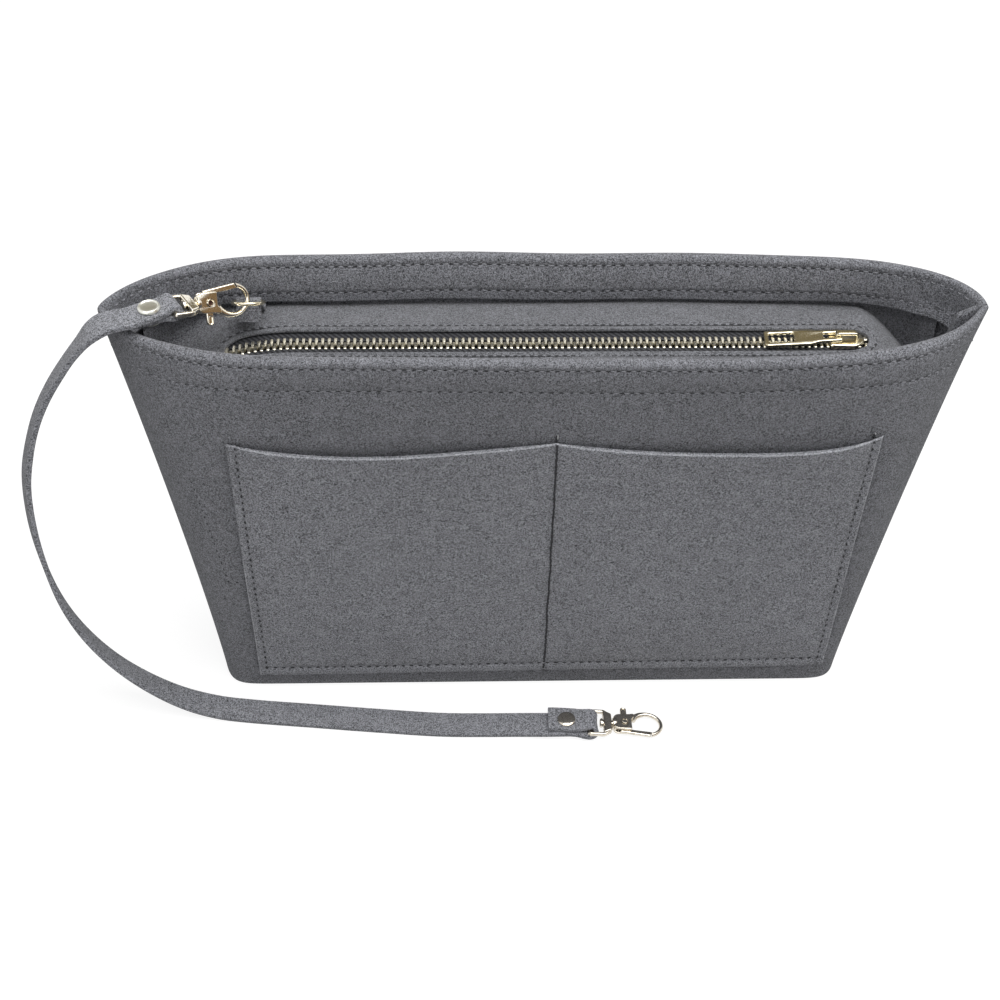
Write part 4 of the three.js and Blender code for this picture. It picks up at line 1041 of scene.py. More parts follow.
    def build(self, bench: Bench, finishes: Finishes, sewing: Stitching) -> None:
        """Makes the walls and the base and adds the rim's stitch rows."""
        for side, name in ((Side.FRONT, "front"), (Side.BACK, "back")):
            bench.piece(f"{name}_felt_wall", self.wall(side), finishes.felt, Slot.FELT, stands_for=(f"{name}_wall",))
            share = np.linspace(-0.992, 0.992, 400)
            for drop in self.row_drops:
                z = np.full_like(share, self.plan.height - drop)
                for face, turn in ((self.outer(side), -side.value), (self.hem(side), side.value)):
                    normals = sheet_normals(face, share, z)
                    outward = normals * np.sign(normals[200, 1]) * -turn
                    sewing.rows.append(StitchRow(face(share, z), outward, seed=round(drop * 10) + turn,
                                                 hole=self.rim_hole_shade))
        for end, name in ((-1, "left"), (1, "right")):
            bench.piece(f"{name}_seam_tuck", self.tuck(end), finishes.felt, Slot.FELT)
        bench.piece("felt_base", self.base(), finishes.felt, Slot.FELT, stands_for=("base_panel",))


@dataclass
class FrontPocket:
    """Slip pocket panel on the front, sewn on three sides and down its middle."""

    plan: BodyPlan
    felt: float = 2.2
    width: float = 254.0
    shift: float = 4.0
    bottom: float = 10.0
    bottom_rise: float = 3.7
    top: float = 159.0
    top_fall: float = 2.2
    scoop: float = 5.1
    scoop_lean: Flat = (0.85, 0.7)
    left_flare: float = 1.0
    undercut: float = 1.35
    gape: float = 2.4
    gape_reach: float = 3.0
    seam: float = 3.4
    bottom_seam: float = 5.2
    groove: float = 0.6
    puff: float = 0.8
    edge: float = 0.55

    def x_at(self, u: np.ndarray, v: np.ndarray | float) -> np.ndarray:
        """Place along X of a share of the width, a little further out at the upper left."""
        return self.shift + (u - 0.5) * self.width - self.left_flare * v * (1 - u)

    def dip(self, u: np.ndarray) -> np.ndarray:
        """Share of the scoop in each pocket's mouth, deepest nearer its outer corner on the right."""
        inwards = np.clip(1 - np.abs(2 * np.asarray(u) - 1), 0, 1)
        return np.sin(np.pi * inwards ** np.where(np.asarray(u) < 0.5, *self.scoop_lean))

    def top_at(self, u: np.ndarray) -> np.ndarray:
        """Height of the pocket mouth."""
        return self.top - self.top_fall * (1 - u) - self.scoop * self.dip(u)

    def bottom_at(self, u: np.ndarray) -> np.ndarray:
        """Height of the panel's lower edge, which was sewn on a little aslant."""
        return self.bottom + self.bottom_rise * u

    def relief(self, u: np.ndarray, v: np.ndarray) -> np.ndarray:
        """Grooves under the stitches and the felt that swells beside them."""
        height = self.top_at(u) - self.bottom_at(u)
        sides = np.minimum(u, 1 - u) * self.width - self.seam
        middle = np.abs(u - 0.5) * self.width
        foot = v * height - self.bottom_seam
        press = np.zeros(np.broadcast(u, v).shape)
        for distance in (sides, middle, foot):
            press = np.maximum(press, np.exp(-((distance / 1.2) ** 2)))
        inside = np.minimum(np.minimum(np.maximum(sides, 0), middle), np.maximum(foot, 0))
        swell = self.puff * ease(inside, 0.0, 16.0)
        return swell - self.groove * press

    def place(self, u: np.ndarray, v: np.ndarray, far: bool = True) -> np.ndarray:
        """Point of the panel's far or near face; the near face is cut under all round."""
        height = self.top_at(u) - self.bottom_at(u)
        z = self.bottom_at(u) + v * height
        x = self.x_at(u, v)
        open_by = self.gape * self.dip(u) * v**self.gape_reach
        y = -self.plan.wall_reach(Side.FRONT, x, z, 0.0) - self.plan.gap - open_by
        border = np.minimum(np.minimum(u, 1 - u) * self.width, np.minimum(v, 1 - v) * height)
        if far:
            y = y - self.felt - self.relief(u, v) + edge_fall(border, self.edge)
        else:
            y = y - self.undercut * (1 - ease(border, 0.0, 2.2))
        return np.stack(np.broadcast_arrays(x, y, z + self.plan.lift(x, z)), axis=-1)

    def build(self, bench: Bench, finishes: Finishes, sewing: Stitching) -> None:
        """Makes the panel and its stitch rows."""
        rim = np.array([0.0, 0.1, 0.25, 0.55]) / self.width
        middle = np.linspace(1.5, self.width - 1.5, 200) / self.width
        seams = np.array([self.seam, self.width / 2, self.width - self.seam])
        near_seams = (seams[:, None] + np.linspace(-2.2, 2.2, 12)).ravel() / self.width
        across = np.unique(np.concatenate((rim, middle, near_seams, 1 - rim[::-1])))
        low = np.array([0.0, 0.1, 0.25, 0.55]) / (self.top - self.bottom)
        up = np.concatenate((low, np.linspace(0.008, 0.05, 14), np.linspace(0.06, 0.992, 80), 1 - low[::-1]))
        rings = []
        for u in across:
            column = np.full_like(up, u)
            rings.append(np.concatenate((self.place(column, up, far=False), self.place(column, up)[::-1])))
        # The outer face along the cut edges gets the lighter felt of the painted highlight.
        bench.piece("pocket_felt_panel", Shape.loft(np.array(rings)), finishes.pocket_felt, Slot.FELT,
                    stands_for=("front_pocket_panel",), cut=finishes.painted_edge_highlight_felt, painted_highlight_at=self.painted_highlight_at)
        rise = np.linspace(0.036, 0.99, 160)
        run = np.linspace(self.seam, self.width - self.seam, 260) / self.width
        foot = self.bottom_seam / (self.top - self.bottom)
        middle_rise = np.linspace(0.014, 0.99, 160)
        middle_seam = 0.5015 + SoftWaves(57, 15.0, 0.34).at(middle_rise * self.top) / self.width
        lines = [
            (np.full_like(rise, self.seam / self.width), rise, Thread.LEVEL),
            (np.full_like(rise, 1 - self.seam / self.width), rise, Thread.LEVEL),
            (middle_seam, middle_rise, Thread.SUNK),
            (run, np.full_like(run, foot), Thread.LEVEL),
        ]
        for number, (u, v, thread) in enumerate(lines):
            normals = sheet_normals(self.place, u, v, (0.002, 0.002))
            normals = normals * -np.sign(normals[:, 1:2])
            # Half sizes of the painted hole shades, bigger on the sunk middle row.
            hole = (1.1, 0.55) if thread is Thread.SUNK else (0.9, 0.42)
            sewing.rows.append(StitchRow(self.place(u, v), normals, seed=60 + number, thread=thread, hole=hole))
        self.tack(sewing, 0.5, (2.4, 3.4), 71)
        self.tack(sewing, 1 - self.seam / self.width, (0.4, 1.6), 72)

    def tack(self, sewing: Stitching, u: float, rises: Flat, seed: int) -> None:
        """Adds the back-tack of a seam on the wall above the pocket mouth, with its loose thread end.

        Args:
            sewing: where the rows are collected.
            u: share of the width where the seam runs.
            rises: how far the tack and the loose end stand above the mouth.
            seed: seed of the row.
        """
        x = float(self.x_at(np.array(u), 1.0))
        mouth = float(self.top_at(np.array(u)))
        out = np.tile((0.0, -1.0, 0.0), (6, 1))
        z = np.linspace(mouth - 0.6, mouth + rises[0], 6)
        y = -self.plan.wall_reach(Side.FRONT, x, z, 0.0) - 0.1
        line = np.stack((np.full(6, x), y, z + self.plan.lift(np.full(6, x), z)), axis=1)
        sewing.rows.append(StitchRow(line, out, 1.6, seed, Thread.SUNK, (0.6, 0.4)))
        loose = line + np.array((0.5, -0.25, 0.2))
        loose[:, 2] += rises[1] - rises[0]
        sewing.rows.append(StitchRow(loose, out, 2.4, seed + 5, Thread.LOOSE, (0.2, 0.15)))

    def painted_highlight_at(self, middles: np.ndarray) -> np.ndarray:
        """Says which places of the panel are on its cut edges, where a lighter felt is painted on as a highlight."""
        u = np.clip((middles[:, 0] - self.shift) / self.width + 0.5, 0, 1)
        z = middles[:, 2] - self.plan.lift(middles[:, 0], middles[:, 2])
        height = self.top_at(u) - self.bottom_at(u)
        v = np.clip((z - self.bottom_at(u)) / height, 0, 1)
        u = np.clip(u + self.left_flare * v * (1 - u) / self.width, 0, 1)
        border = np.minimum(np.minimum(u, 1 - u) * self.width, np.minimum(v, 1 - v) * height)
        outside = middles[:, 1] < self.place(u, v)[:, 1] + 0.25
        return np.logical_and(border < self.edge, outside)


@dataclass
class InnerPocket:
    """Slip pocket panel on the inside of the front wall."""

    plan: BodyPlan
    felt: float = 1.8
    margin: float = 17.0
    right: float = 96.0
    bottom: float = 70.0
    top: float = 132.0
    gape: float = 2.0
    seam: float = 3.0

    def place(self, u: np.ndarray, v: np.ndarray, far: bool = True) -> np.ndarray:
        """Point of the panel's face towards the inside, or of its face on the wall."""
        plan = self.plan
        z = self.bottom + v * (self.top - self.bottom)
        left = self.margin - plan.half_length(z)
        x = left + u * (self.right - left)
        y = -plan.wall_reach(Side.FRONT, x, z, plan.felt) + 2 * plan.gap + self.gape * np.sin(np.pi * u) * v * v
        if far:
            height = self.top - self.bottom
            border = np.minimum(np.minimum(u, 1 - u) * 240.0, np.minimum(v, 1 - v) * height)
            y = y + self.felt - edge_fall(border, 0.5)
        return np.stack(np.broadcast_arrays(x, y, z + plan.lift(x, z)), axis=-1)

    def build(self, bench: Bench, finishes: Finishes, sewing: Stitching) -> None:
        """Makes the panel, its stitches and where they come through on the front."""
        rim = np.array([0.0, 0.1, 0.25, 0.5])
        across = np.concatenate((rim / 240, np.linspace(0.01, 0.99, 90), 1 - rim[::-1] / 240))
        up = np.concatenate((rim / 62, np.linspace(0.03, 0.97, 30), 1 - rim[::-1] / 62))
        rings = []
        for u in across:
            column = np.full_like(up, u)
            rings.append(np.concatenate((self.place(column, up, far=False), self.place(column, up)[::-1])))
        bench.piece("inner_pocket_felt", Shape.loft(np.array(rings)), finishes.felt, Slot.FELT,
                    stands_for=("inner_pocket_panel",))
        rise = np.linspace(0.05, 0.985, 60)
        run = np.linspace(0.012, 0.988, 200)
        lines = [(np.full_like(rise, 0.012), rise), (np.full_like(rise, 0.988), rise), (run, np.full_like(run, 0.05))]
        for number, (u, v) in enumerate(lines):
            normals = np.tile((0.0, 1.0, 0.0), (len(u), 1))
            line = self.place(u, v)
            sewing.rows.append(StitchRow(line, normals, seed=80 + number))
            through = line.copy()
            through[:, 1] = -self.plan.wall_reach(Side.FRONT, line[:, 0], line[:, 2], 0.0)
            outside = np.abs(line[:, 0] - 4.0) > 127.0
            if outside.sum() > 4:
                sewing.rows.append(StitchRow(through[outside], -normals[outside], seed=90 + number, hole=(0.6, 0.22)))


@dataclass
class ZipFlaps:
    """Felt flaps that come out from under the hem, hold the zipper and close past both of its ends."""

    plan: BodyPlan
    zip_offset: float = 1.6
    flap_edge: float = 6.5
    left_close: float = -115.5
    left_run: float = 10.4
    right_close: float = 118.5
    right_run: float = 9.6
    belly: float = 0.5
    valley: float = 0.7
    tab_felt: float = 1.6
    zip_below_hem: float = 1.9
    tape_thickness: float = 0.8
    tape_start: float = -126.4
    tape_end: float = 128.4
    sag_start: float = -98.0
    sag_depth: float = 5.0
    right_crease: float = 127.5
    crease_lean: float = 0.02
    right_fall: float = 1.25
    left_crease: float = -124.0
    left_fall: float = 0.4
    reach_past: float = 8.0
    stitch_margin: float = 2.9
    puckers: SoftWaves = SoftWaves(41, 30.0, 0.16)

    @property
    def zip_height(self) -> float:
        """Height of the zipper's middle."""
        return self.plan.hem_edge - self.zip_below_hem

    @property
    def turn(self) -> float:
        """Height of a flap's upper face where it turns at the wall."""
        return self.plan.hem_edge - self.tab_felt - 4 * self.plan.gap

    @property
    def rest(self) -> float:
        """Height of a flap's underside at the zipper."""
        return self.zip_height + self.tape_thickness / 2 + self.plan.gap

    def sag(self, x: np.ndarray | float) -> np.ndarray:
        """Drop of the zipper's free left end."""
        past = np.maximum(0.0, self.sag_start - np.asarray(x, dtype=float)) / (self.sag_start - self.tape_start)
        return self.sag_depth * past * past

    def dive(self, x: np.ndarray | float, y: np.ndarray | float) -> np.ndarray:
        """How far the flaps hang down past the zipper's ends, on the right past a crease that runs aslant."""
        right = np.maximum(0.0, x - self.right_crease + self.crease_lean * (y - self.zip_offset))
        left = np.maximum(0.0, self.left_crease - np.asarray(x, dtype=float))
        return self.right_fall * right * right / (right + 13.0) + self.left_fall * left * left / (left + 8.0)

    def root_fall(self, side: Side, x: np.ndarray | float) -> np.ndarray:
        """How far a flap hangs down at its wall."""
        reach = self.plan.wall_reach(side, x, self.turn, self.plan.felt + self.plan.gap)
        return self.dive(x, side.value * reach)

    def opening(self, x: np.ndarray | float, margin: float = 0.0) -> np.ndarray:
        """How open the oval slot between the flaps is: 1 along the tape, 0 past its ends."""
        x = np.asarray(x, dtype=float)
        left = np.maximum(self.left_close - x, 0.0) / (self.left_run + margin)
        right = np.maximum(x - self.right_close, 0.0) / (self.right_run + margin)
        past = np.maximum(left, right)
        return np.sqrt(np.maximum(0.0, 1.0 - past * past))

    def underside(self, side: Side, x: np.ndarray, y: np.ndarray) -> np.ndarray:
        """Height of a flap's underside, which ends in a smooth valley where the slot is closed."""
        plan = self.plan
        opened = self.opening(x)
        edge = self.zip_offset + side.value * self.flap_edge * opened
        foot = self.turn - plan.flap_felt - self.root_fall(side, x)
        turn = side.value * plan.wall_reach(side, x, foot, plan.felt + plan.gap)
        share = np.clip((y - edge) / (turn - edge), 0.0, 1.0)
        low = self.rest - self.sag(x)
        climb = share ** (1.0 + self.valley * (1.0 - opened))
        level = low + (self.turn - plan.flap_felt - low) * climb + self.belly * np.sin(np.pi * share)
        return level - self.dive(x, y)

    def line(self, side: Side, x: float) -> np.ndarray:
        """Middle line of a flap's section, from its tongue's top to its edge, as Y and Z."""
        plan = self.plan
        half = plan.flap_felt / 2
        inset = plan.felt + plan.gap + half
        fall = float(self.root_fall(side, x))
        top, foot = plan.hem_edge + plan.hem_overlap, self.turn - fall
        tongue = np.array([(side.value * float(plan.wall_reach(side, x, z, inset)), z)
                           for z in np.linspace(top, foot + 1.2, 5)])
        root = side.value * float(plan.wall_reach(side, x, foot, inset))
        edge = self.zip_offset + side.value * (self.flap_edge + half) * float(self.opening(x))
        reach = max(0.4, abs(root - edge))
        places = np.linspace(edge + side.value * reach * 0.92, edge, 22)
        run = np.stack((places, self.underside(side, x, places) + half), axis=1)
        run[2:-1, 1] += self.puckers.at(np.full(19, x), places[2:-1])
        start, knee, end = tongue[-1], np.array((root, foot - half * 0.6)), run[0]
        bend = [(1 - t) ** 2 * start + 2 * t * (1 - t) * knee + t * t * end for t in (0.25, 0.5, 0.75)]
        return np.concatenate((tongue, bend, run))

    def places(self) -> np.ndarray:
        """Places of the sections along X, close together round both ends of the slot."""
        end = self.plan.flap_length / 2 + self.reach_past
        return np.concatenate((np.linspace(-end, self.left_close - self.left_run, 26)[:-1], self.slot_places(15, 0.0),
                               np.linspace(self.right_close + self.right_run, end, 26)[1:]))

    def slot_places(self, steps: int, margin: float) -> np.ndarray:
        """Places along X from end to end of the slot, or of the stitch row round it."""
        swing = np.sin(np.linspace(0, math.pi / 2, steps))
        return np.concatenate((self.left_close - (self.left_run + margin) * swing[::-1],
                               np.linspace(self.left_close, self.right_close, 150)[1:-1],
                               self.right_close + (self.right_run + margin) * swing))

    def flap(self, side: Side) -> Shape:
        """Builds one flap."""
        half = self.plan.flap_felt / 2
        rings = []
        for x in self.places():
            line = self.line(side, float(x))
            tangents = np.gradient(line, axis=0)
            tangents /= np.linalg.norm(tangents, axis=1, keepdims=True)
            normals = np.stack((-tangents[:, 1], tangents[:, 0]), axis=1)
            normals *= side.value * -1
            dent = self.dent(side, float(x), line)
            blunt = half * float(self.opening(x))
            nose = [line[-1] + blunt * math.cos(turn) * tangents[-1] + half * math.sin(turn) * normals[-1]
                    for turn in np.linspace(math.pi / 2, -math.pi / 2, 7)[1:-1]]
            upper = line + normals * (half - dent)[:, None]
            lower = line - normals * half
            ring = np.concatenate((upper, nose, lower[::-1]))
            rings.append(np.column_stack((np.full(len(ring), x), ring)))
        return Shape.loft(np.array(rings))

    def stitch_reach(self, x: np.ndarray | float) -> np.ndarray:
        """Distance of the stitch row from the zipper's middle, which rounds both ends of the slot."""
        return (self.flap_edge + self.stitch_margin) * self.opening(x, self.stitch_margin)

    def dent(self, side: Side, x: float, line: np.ndarray) -> np.ndarray:
        """Groove that the stitch row round the zipper presses into a flap's upper face."""
        distance = side.value * (line[:, 0] - self.zip_offset) - float(self.stitch_reach(x))
        sewn = float(self.opening(x, self.stitch_margin) > 0.05)
        return 0.4 * sewn * np.exp(-((distance / 1.0) ** 2)) * (line[:, 1] < self.plan.hem_edge)

    def build(self, bench: Bench, finishes: Finishes, sewing: Stitching) -> None:
        """Makes both flaps and their stitch rows."""
        x = self.slot_places(40, self.stitch_margin)
        for side, name in ((Side.FRONT, "front"), (Side.BACK, "back")):
            bench.piece(f"{name}_zip_flap_felt", self.flap(side), finishes.flap_felt, Slot.FELT,
                        stands_for=(f"zip_flap_{name}",))
            y = self.zip_offset + side.value * self.stitch_reach(x)
            z = self.underside(side, x, y) + self.plan.flap_felt - 0.25
            normals = np.tile((0.0, 0.0, 1.0), (len(x), 1))
            sewing.rows.append(StitchRow(np.stack((x, y, z), axis=1), normals, 3.2, 100 + side.value))


@dataclass
class Zipper:
    """Woven tapes, interlocked metal teeth and the stops at both ends."""

    flaps: ZipFlaps
    start: float = -124.0
    pitch: float = 2.5
    count: int = 100
    tooth_width: float = 1.2
    tooth_height: float = 2.5
    root: float = 3.0
    tip: float = -0.75
    tape_inner: float = 2.3
    tape_lap: float = 7.0
    stop_length: float = 1.8
    gap: float = 0.3

    @property
    def end(self) -> float:
        """Place of the right end of the teeth."""
        return self.start + self.count * self.pitch

    def tape(self, side: Side) -> Shape:
        """Builds one tape with its corded edge."""
        flaps = self.flaps
        thick = flaps.tape_thickness
        rings = []
        for x in np.linspace(self.start - self.stop_length - 2 * self.gap, self.end + self.stop_length + 2 * self.gap,
                             210):
            top = flaps.zip_height + thick / 2 - float(flaps.sag(x))
            places = [flaps.zip_offset + side.value * far for far in (self.tape_inner, flaps.flap_edge)]
            outer = flaps.zip_offset + side.value * (flaps.flap_edge + self.tape_lap)
            lapped = float(flaps.underside(side, x, np.array(outer))) - self.gap
            upper = [(places[0], top - 0.1), (places[0] + side.value * 0.35, top + 0.16),
                     (places[0] + side.value * 1.0, top + 0.2), (places[0] + side.value * 1.5, top - 0.06),
                     (places[1] - side.value * 0.8, top - 0.06), (places[1], top), (outer, lapped)]
            lower = [(y, z - thick + (0.0 if step else 0.1)) for step, (y, z) in enumerate(upper)]
            rings.append([(x, y, z) for y, z in upper + lower[::-1]])
        return Shape.loft(np.array(rings))

    def tooth(self) -> np.ndarray:
        """Rings of one tooth along Y, from its root on the tape to its tip past the middle."""
        half_x, half_z = self.tooth_width / 2, self.tooth_height / 2
        profile = [(self.root + 0.35, 0.55, 0.5), (self.root + 0.3, 0.8, 0.8), (self.root, 1.0, 1.0),
                   (1.2, 1.0, 1.0), (0.8, 0.86, 0.9), (0.2, 0.86, 0.86), (self.tip + 0.2, 0.98, 0.8),
                   (self.tip, 0.6, 0.5)]
        rings = []
        for y, wide, tall in profile:
            corners = [(-half_x * wide, -half_z * tall), (half_x * wide, -half_z * tall),
                       (half_x * wide, half_z * tall), (-half_x * wide, half_z * tall)]
            rings.append([(x, y, z) for x, z in rounded(corners, 0.32, 2)])
        return np.array(rings)

    def teeth(self, side: Side) -> Shape:
        """Builds one row of teeth, set half a pitch off the other row."""
        base = self.tooth() * np.array((1.0, side.value, 1.0))
        lead = self.tooth_width / 2 + (self.pitch / 2 - 0.02 if side is Side.BACK else 0.05)
        rows = []
        for number in range(self.count):
            x = self.start + number * self.pitch + lead
            drop = float(self.flaps.sag(x))
            rows.append(Shape.loft(base + np.array((x, self.flaps.zip_offset, self.flaps.zip_height - drop))))
        return Shape.joined(rows)

    def stop(self, left: float, near: float, far: float) -> Shape:
        """Builds one crimped stop between two distances from the zipper's middle."""
        middle = (near + far) / 2
        half = abs(far - near) / 2
        corners = [(-self.stop_length / 2, -half), (self.stop_length / 2, -half), (self.stop_length / 2, half),
                   (-self.stop_length / 2, half)]
        shape = cut_plate([rounded(corners, 0.5)], self.tooth_height, 0.45)
        centre = left + self.stop_length / 2
        height = self.flaps.zip_height - float(self.flaps.sag(centre))
        return shape.placed((centre, self.flaps.zip_offset + middle, height), np.eye(3))

    def build(self, bench: Bench, finishes: Finishes) -> None:
        """Makes tapes, teeth and stops."""
        for side, name in ((Side.FRONT, "front"), (Side.BACK, "back")):
            bench.piece(f"{name}_tape_twill", self.tape(side), finishes.tape, Slot.TAPE,
                        stands_for=(f"zip_tape_{name}",))
            bench.piece(f"{name}_teeth", self.teeth(side), finishes.tooth_gold, Slot.GOLD,
                        stands_for=(f"zip_teeth_{name}",))
            stop = self.stop(self.end + self.gap, side.value * 0.7, side.value * self.root)
            bench.piece(f"{name}_top_stop", stop, finishes.tooth_gold, Slot.GOLD,
                        stands_for=(f"zip_top_stop_{name}",))
        left = self.start - self.gap - self.stop_length
        bench.piece("bottom_stop", self.stop(left, -self.root, self.root), finishes.tooth_gold, Slot.GOLD,
                    stands_for=("zip_bottom_stop",))


@dataclass
class SliderAndPull:
    """Zip slider with its bridge, and the pull that hangs on it."""

    zipper: Zipper
    length: float = 14.0
    width: float = 9.4
    plate: float = 1.2
    inside: float = 1.6
    lip: float = 0.8
    bridge_length: float = 9.6
    bridge_width: float = 2.6
    bridge_wall: float = 1.1
    bridge_inside: float = 2.3
    pull_length: float = 29.8
    pull_width: float = 9.0
    neck_width: float = 6.6
    pull_thickness: float = 1.4
    eye_length: float = 6.6
    window_length: float = 10.0
    frame_width: float = 1.7

    def slider(self) -> Shape:
        """Builds the slider round its own middle."""
        half, tail, front = self.length / 2, self.zipper.root + 0.3 + self.lip, self.width / 2
        outline = rounded([(-half, -tail), (half - 3.4, -front), (half, -front + 2.6), (half, front - 2.6),
                           (half - 3.4, front), (-half, tail)], 2.0, 5)
        rise = self.inside + self.plate / 2
        flat = cut_plate([outline], self.plate, 0.45, 3)
        parts = [flat.placed((0, 0, rise), np.eye(3)), flat.placed((0, 0, -rise), np.eye(3))]
        inner, low = self.zipper.root + 0.34, self.zipper.flaps.tape_thickness / 2 + 0.3
        for side in (-1, 1):
            for turn in (-1, 1):
                line = np.array([(-half + 0.5, 0, 0), (-half + 2.4, 0, 0), (half - 5.6, 0, 0), (half - 4.0, 0, 0)])
                line = line + np.array((0.0, side * (inner + self.lip / 2), turn * (low + rise) / 2))
                section = strip_section(self.lip, rise - low + 0.4, 0.3)
                parts.append(swept(line, np.array((0.0, 0.0, 1.0)), section))
        parts.append(self.bridge())
        return Shape.joined(parts)

    def bridge(self) -> Shape:
        """Builds the arch that holds the pull."""
        half = self.bridge_length / 2 - self.bridge_wall / 2
        top = self.inside + self.plate
        crown = top + self.bridge_inside + self.bridge_wall / 2
        corners = [(-half, top - 0.5), (-half, crown), (half, crown), (half, top - 0.5)]
        bends = rounded(corners, 1.5, 6)
        line = np.array([(x, 0.0, z) for x, z in bends[6:22]])
        line = np.concatenate(([(-half, 0.0, top - 0.5)], line, [(half, 0.0, top - 0.5)]))
        section = strip_section(self.bridge_width, self.bridge_wall, 0.4)
        return swept(spread(line, 30), np.cross(np.gradient(spread(line, 30), axis=0), (0.0, 1.0, 0.0)) * -1, section)

    def pull(self) -> Shape:
        """Builds the pull from its hinge to the left, along its own X."""
        bar, neck, half = self.pull_thickness / 2, self.neck_width / 2, self.pull_width / 2
        shoulder = self.eye_length + self.frame_width
        outline = [(bar, -neck), (bar, neck), (-shoulder, neck), (-shoulder - neck, half), (-self.pull_length, half),
                   (-self.pull_length, -half), (-shoulder - neck, -half), (-shoulder, -neck)]
        eye_half = self.bridge_width / 2 + 0.3
        eye = [(-self.eye_length, -eye_half), (-bar, -eye_half), (-bar, eye_half), (-self.eye_length, eye_half)]
        left = -self.pull_length + self.frame_width
        window_half = half - self.frame_width
        window = [(left, -window_half), (left + self.window_length, -window_half),
                  (left + self.window_length, window_half), (left, window_half)]
        return cut_plate([rounded(outline, 1.3), rounded(eye, 0.5), rounded(window, 0.7)], self.pull_thickness, 0.4, 3)

    def build(self, bench: Bench, finishes: Finishes) -> None:
        """Makes the slider and the pull at their places."""
        flaps = self.zipper.flaps
        middle = self.zipper.end - self.length / 2
        place = (middle, flaps.zip_offset, flaps.zip_height)
        bench.piece("slider_cast", self.slider().placed(place, np.eye(3)), finishes.gold, Slot.GOLD, "slider",
                    ("zip_slider",))
        hinge = np.array(bench.joint("zip_pull_hinge")["pos_m"]) / MM
        drop = hinge[2] - flaps.zip_height - self.pull_thickness / 2 - self.inside
        tilt = math.asin(drop / self.pull_length)
        axes = np.array([(math.cos(tilt), 0, math.sin(tilt)), (0, 1, 0), (-math.sin(tilt), 0, math.cos(tilt))])
        bench.piece("pull_cast", self.pull().placed(hinge, axes), finishes.gold, Slot.GOLD, "pull", ("zip_pull",))


@dataclass
class RingAndTab:
    """D-ring that the near clasp holds, and the felt tab round its bar."""

    flaps: ZipFlaps
    tab_width: float = 9.6
    tab_felt: float = 1.6
    tab_run: float = 7.0
    tail_reach: float = 4.6
    tail_drop: float = 6.2
    bent_share: float = 0.56
    wire: float = 1.6
    depth: float = 9.6
    half_width: float = 5.9

    def ring(self, bar: np.ndarray, way: np.ndarray) -> Shape:
        """Builds the ring from its bar's middle along its own way."""
        normal = np.cross((1.0, 0.0, 0.0), way)
        bow = [(self.half_width * math.cos(turn), self.depth * (0.35 + 0.65 * math.sin(turn)))
               for turn in np.linspace(math.pi, 0, 25)]
        flat = np.array(rounded([(-self.half_width, 0.0), *bow, (self.half_width, 0.0)], 1.2, 3))
        line = bar + flat[:, :1] * np.array((1.0, 0.0, 0.0)) + flat[:, 1:] * way
        line = spread(np.concatenate((line, line[:1])), 73)[:-1]
        return swept(line, normal, round_section(self.wire / 2, self.wire / 2, 14), closed=True)

    def tab_line(self, x: float, bar: np.ndarray) -> np.ndarray:
        """Middle line of the tab's felt as Y and Z, from the hem's slot round the ring's bar to its free tail."""
        plan = self.flaps.plan
        inset = plan.felt + plan.gap + self.tab_felt / 2
        below = plan.hem_edge - 1.5 * plan.gap - self.tab_felt / 2
        root = float(plan.wall_reach(Side.BACK, x, below, inset))
        turn = root - self.tab_run
        over = float(self.flaps.underside(Side.BACK, x, np.array(turn))) + plan.flap_felt + 0.3 + self.tab_felt / 2
        knots = [(float(plan.wall_reach(Side.BACK, x, plan.hem_edge + up, inset)), plan.hem_edge + up)
                 for up in (6.0, 1.2)]
        knots += [(root - 0.6, below + 0.2), (root - 3.2, below), (turn, max(below, over) + 0.3)]
        radius = self.wire / 2 + 0.1 + self.bent_share * self.tab_felt / 2
        wrap = [(bar[1] - radius * math.cos(angle), bar[2] + radius * math.sin(angle))
                for angle in np.linspace(math.radians(215), math.radians(-12), 18)]
        tail = [(bar[1] - radius - (self.tail_reach - radius) * share, bar[2] - 0.6 - (self.tail_drop - 0.6) * share)
                for share in (0.35, 0.7, 1.0)]
        return np.array(knots + wrap + tail)

    def build(self, bench: Bench, finishes: Finishes) -> None:
        """Makes the ring and its tab."""
        bar = np.array(bench.joint("ring_swing")["pos_m"]) / MM
        low, high = (np.array(corner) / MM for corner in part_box("d_ring"))
        far_y, far_z = low[1] + self.wire / 2, high[2] - self.wire / 2
        way = unit((0.0, far_y - bar[1], far_z - bar[2]))
        bench.piece("ring_wire", self.ring(bar, way), finishes.gold, Slot.GOLD, "ring", ("d_ring",))
        half = self.tab_felt / 2
        rings = []
        places = np.array([0.0, 0.15, 0.4, 1.0, 2.4, 4.8, 7.2, 8.6, 9.2, 9.45, 9.6]) - self.tab_width / 2
        for place in places:
            line = spread(self.tab_line(bar[0] + place, bar), 60)
            tangents = np.gradient(line, axis=0)
            tangents /= np.linalg.norm(tangents, axis=1, keepdims=True)
            normals = np.stack((-tangents[:, 1], tangents[:, 0]), axis=1)
            thin = half - float(edge_fall(self.tab_width / 2 - abs(place), 0.4))
            away = np.linalg.norm(line - bar[1:], axis=1)
            thin = (thin * (self.bent_share + (1 - self.bent_share) * ease(away, 1.5, 3.4)))[:, None]
            ring = np.concatenate((line + normals * thin, (line - normals * thin)[::-1]))
            rings.append(np.column_stack((np.full(len(ring), bar[0] + place), ring)))
        bench.piece("ring_tab_felt", Shape.loft(np.array(rings)), finishes.felt, Slot.FELT, stands_for=("ring_tab",))


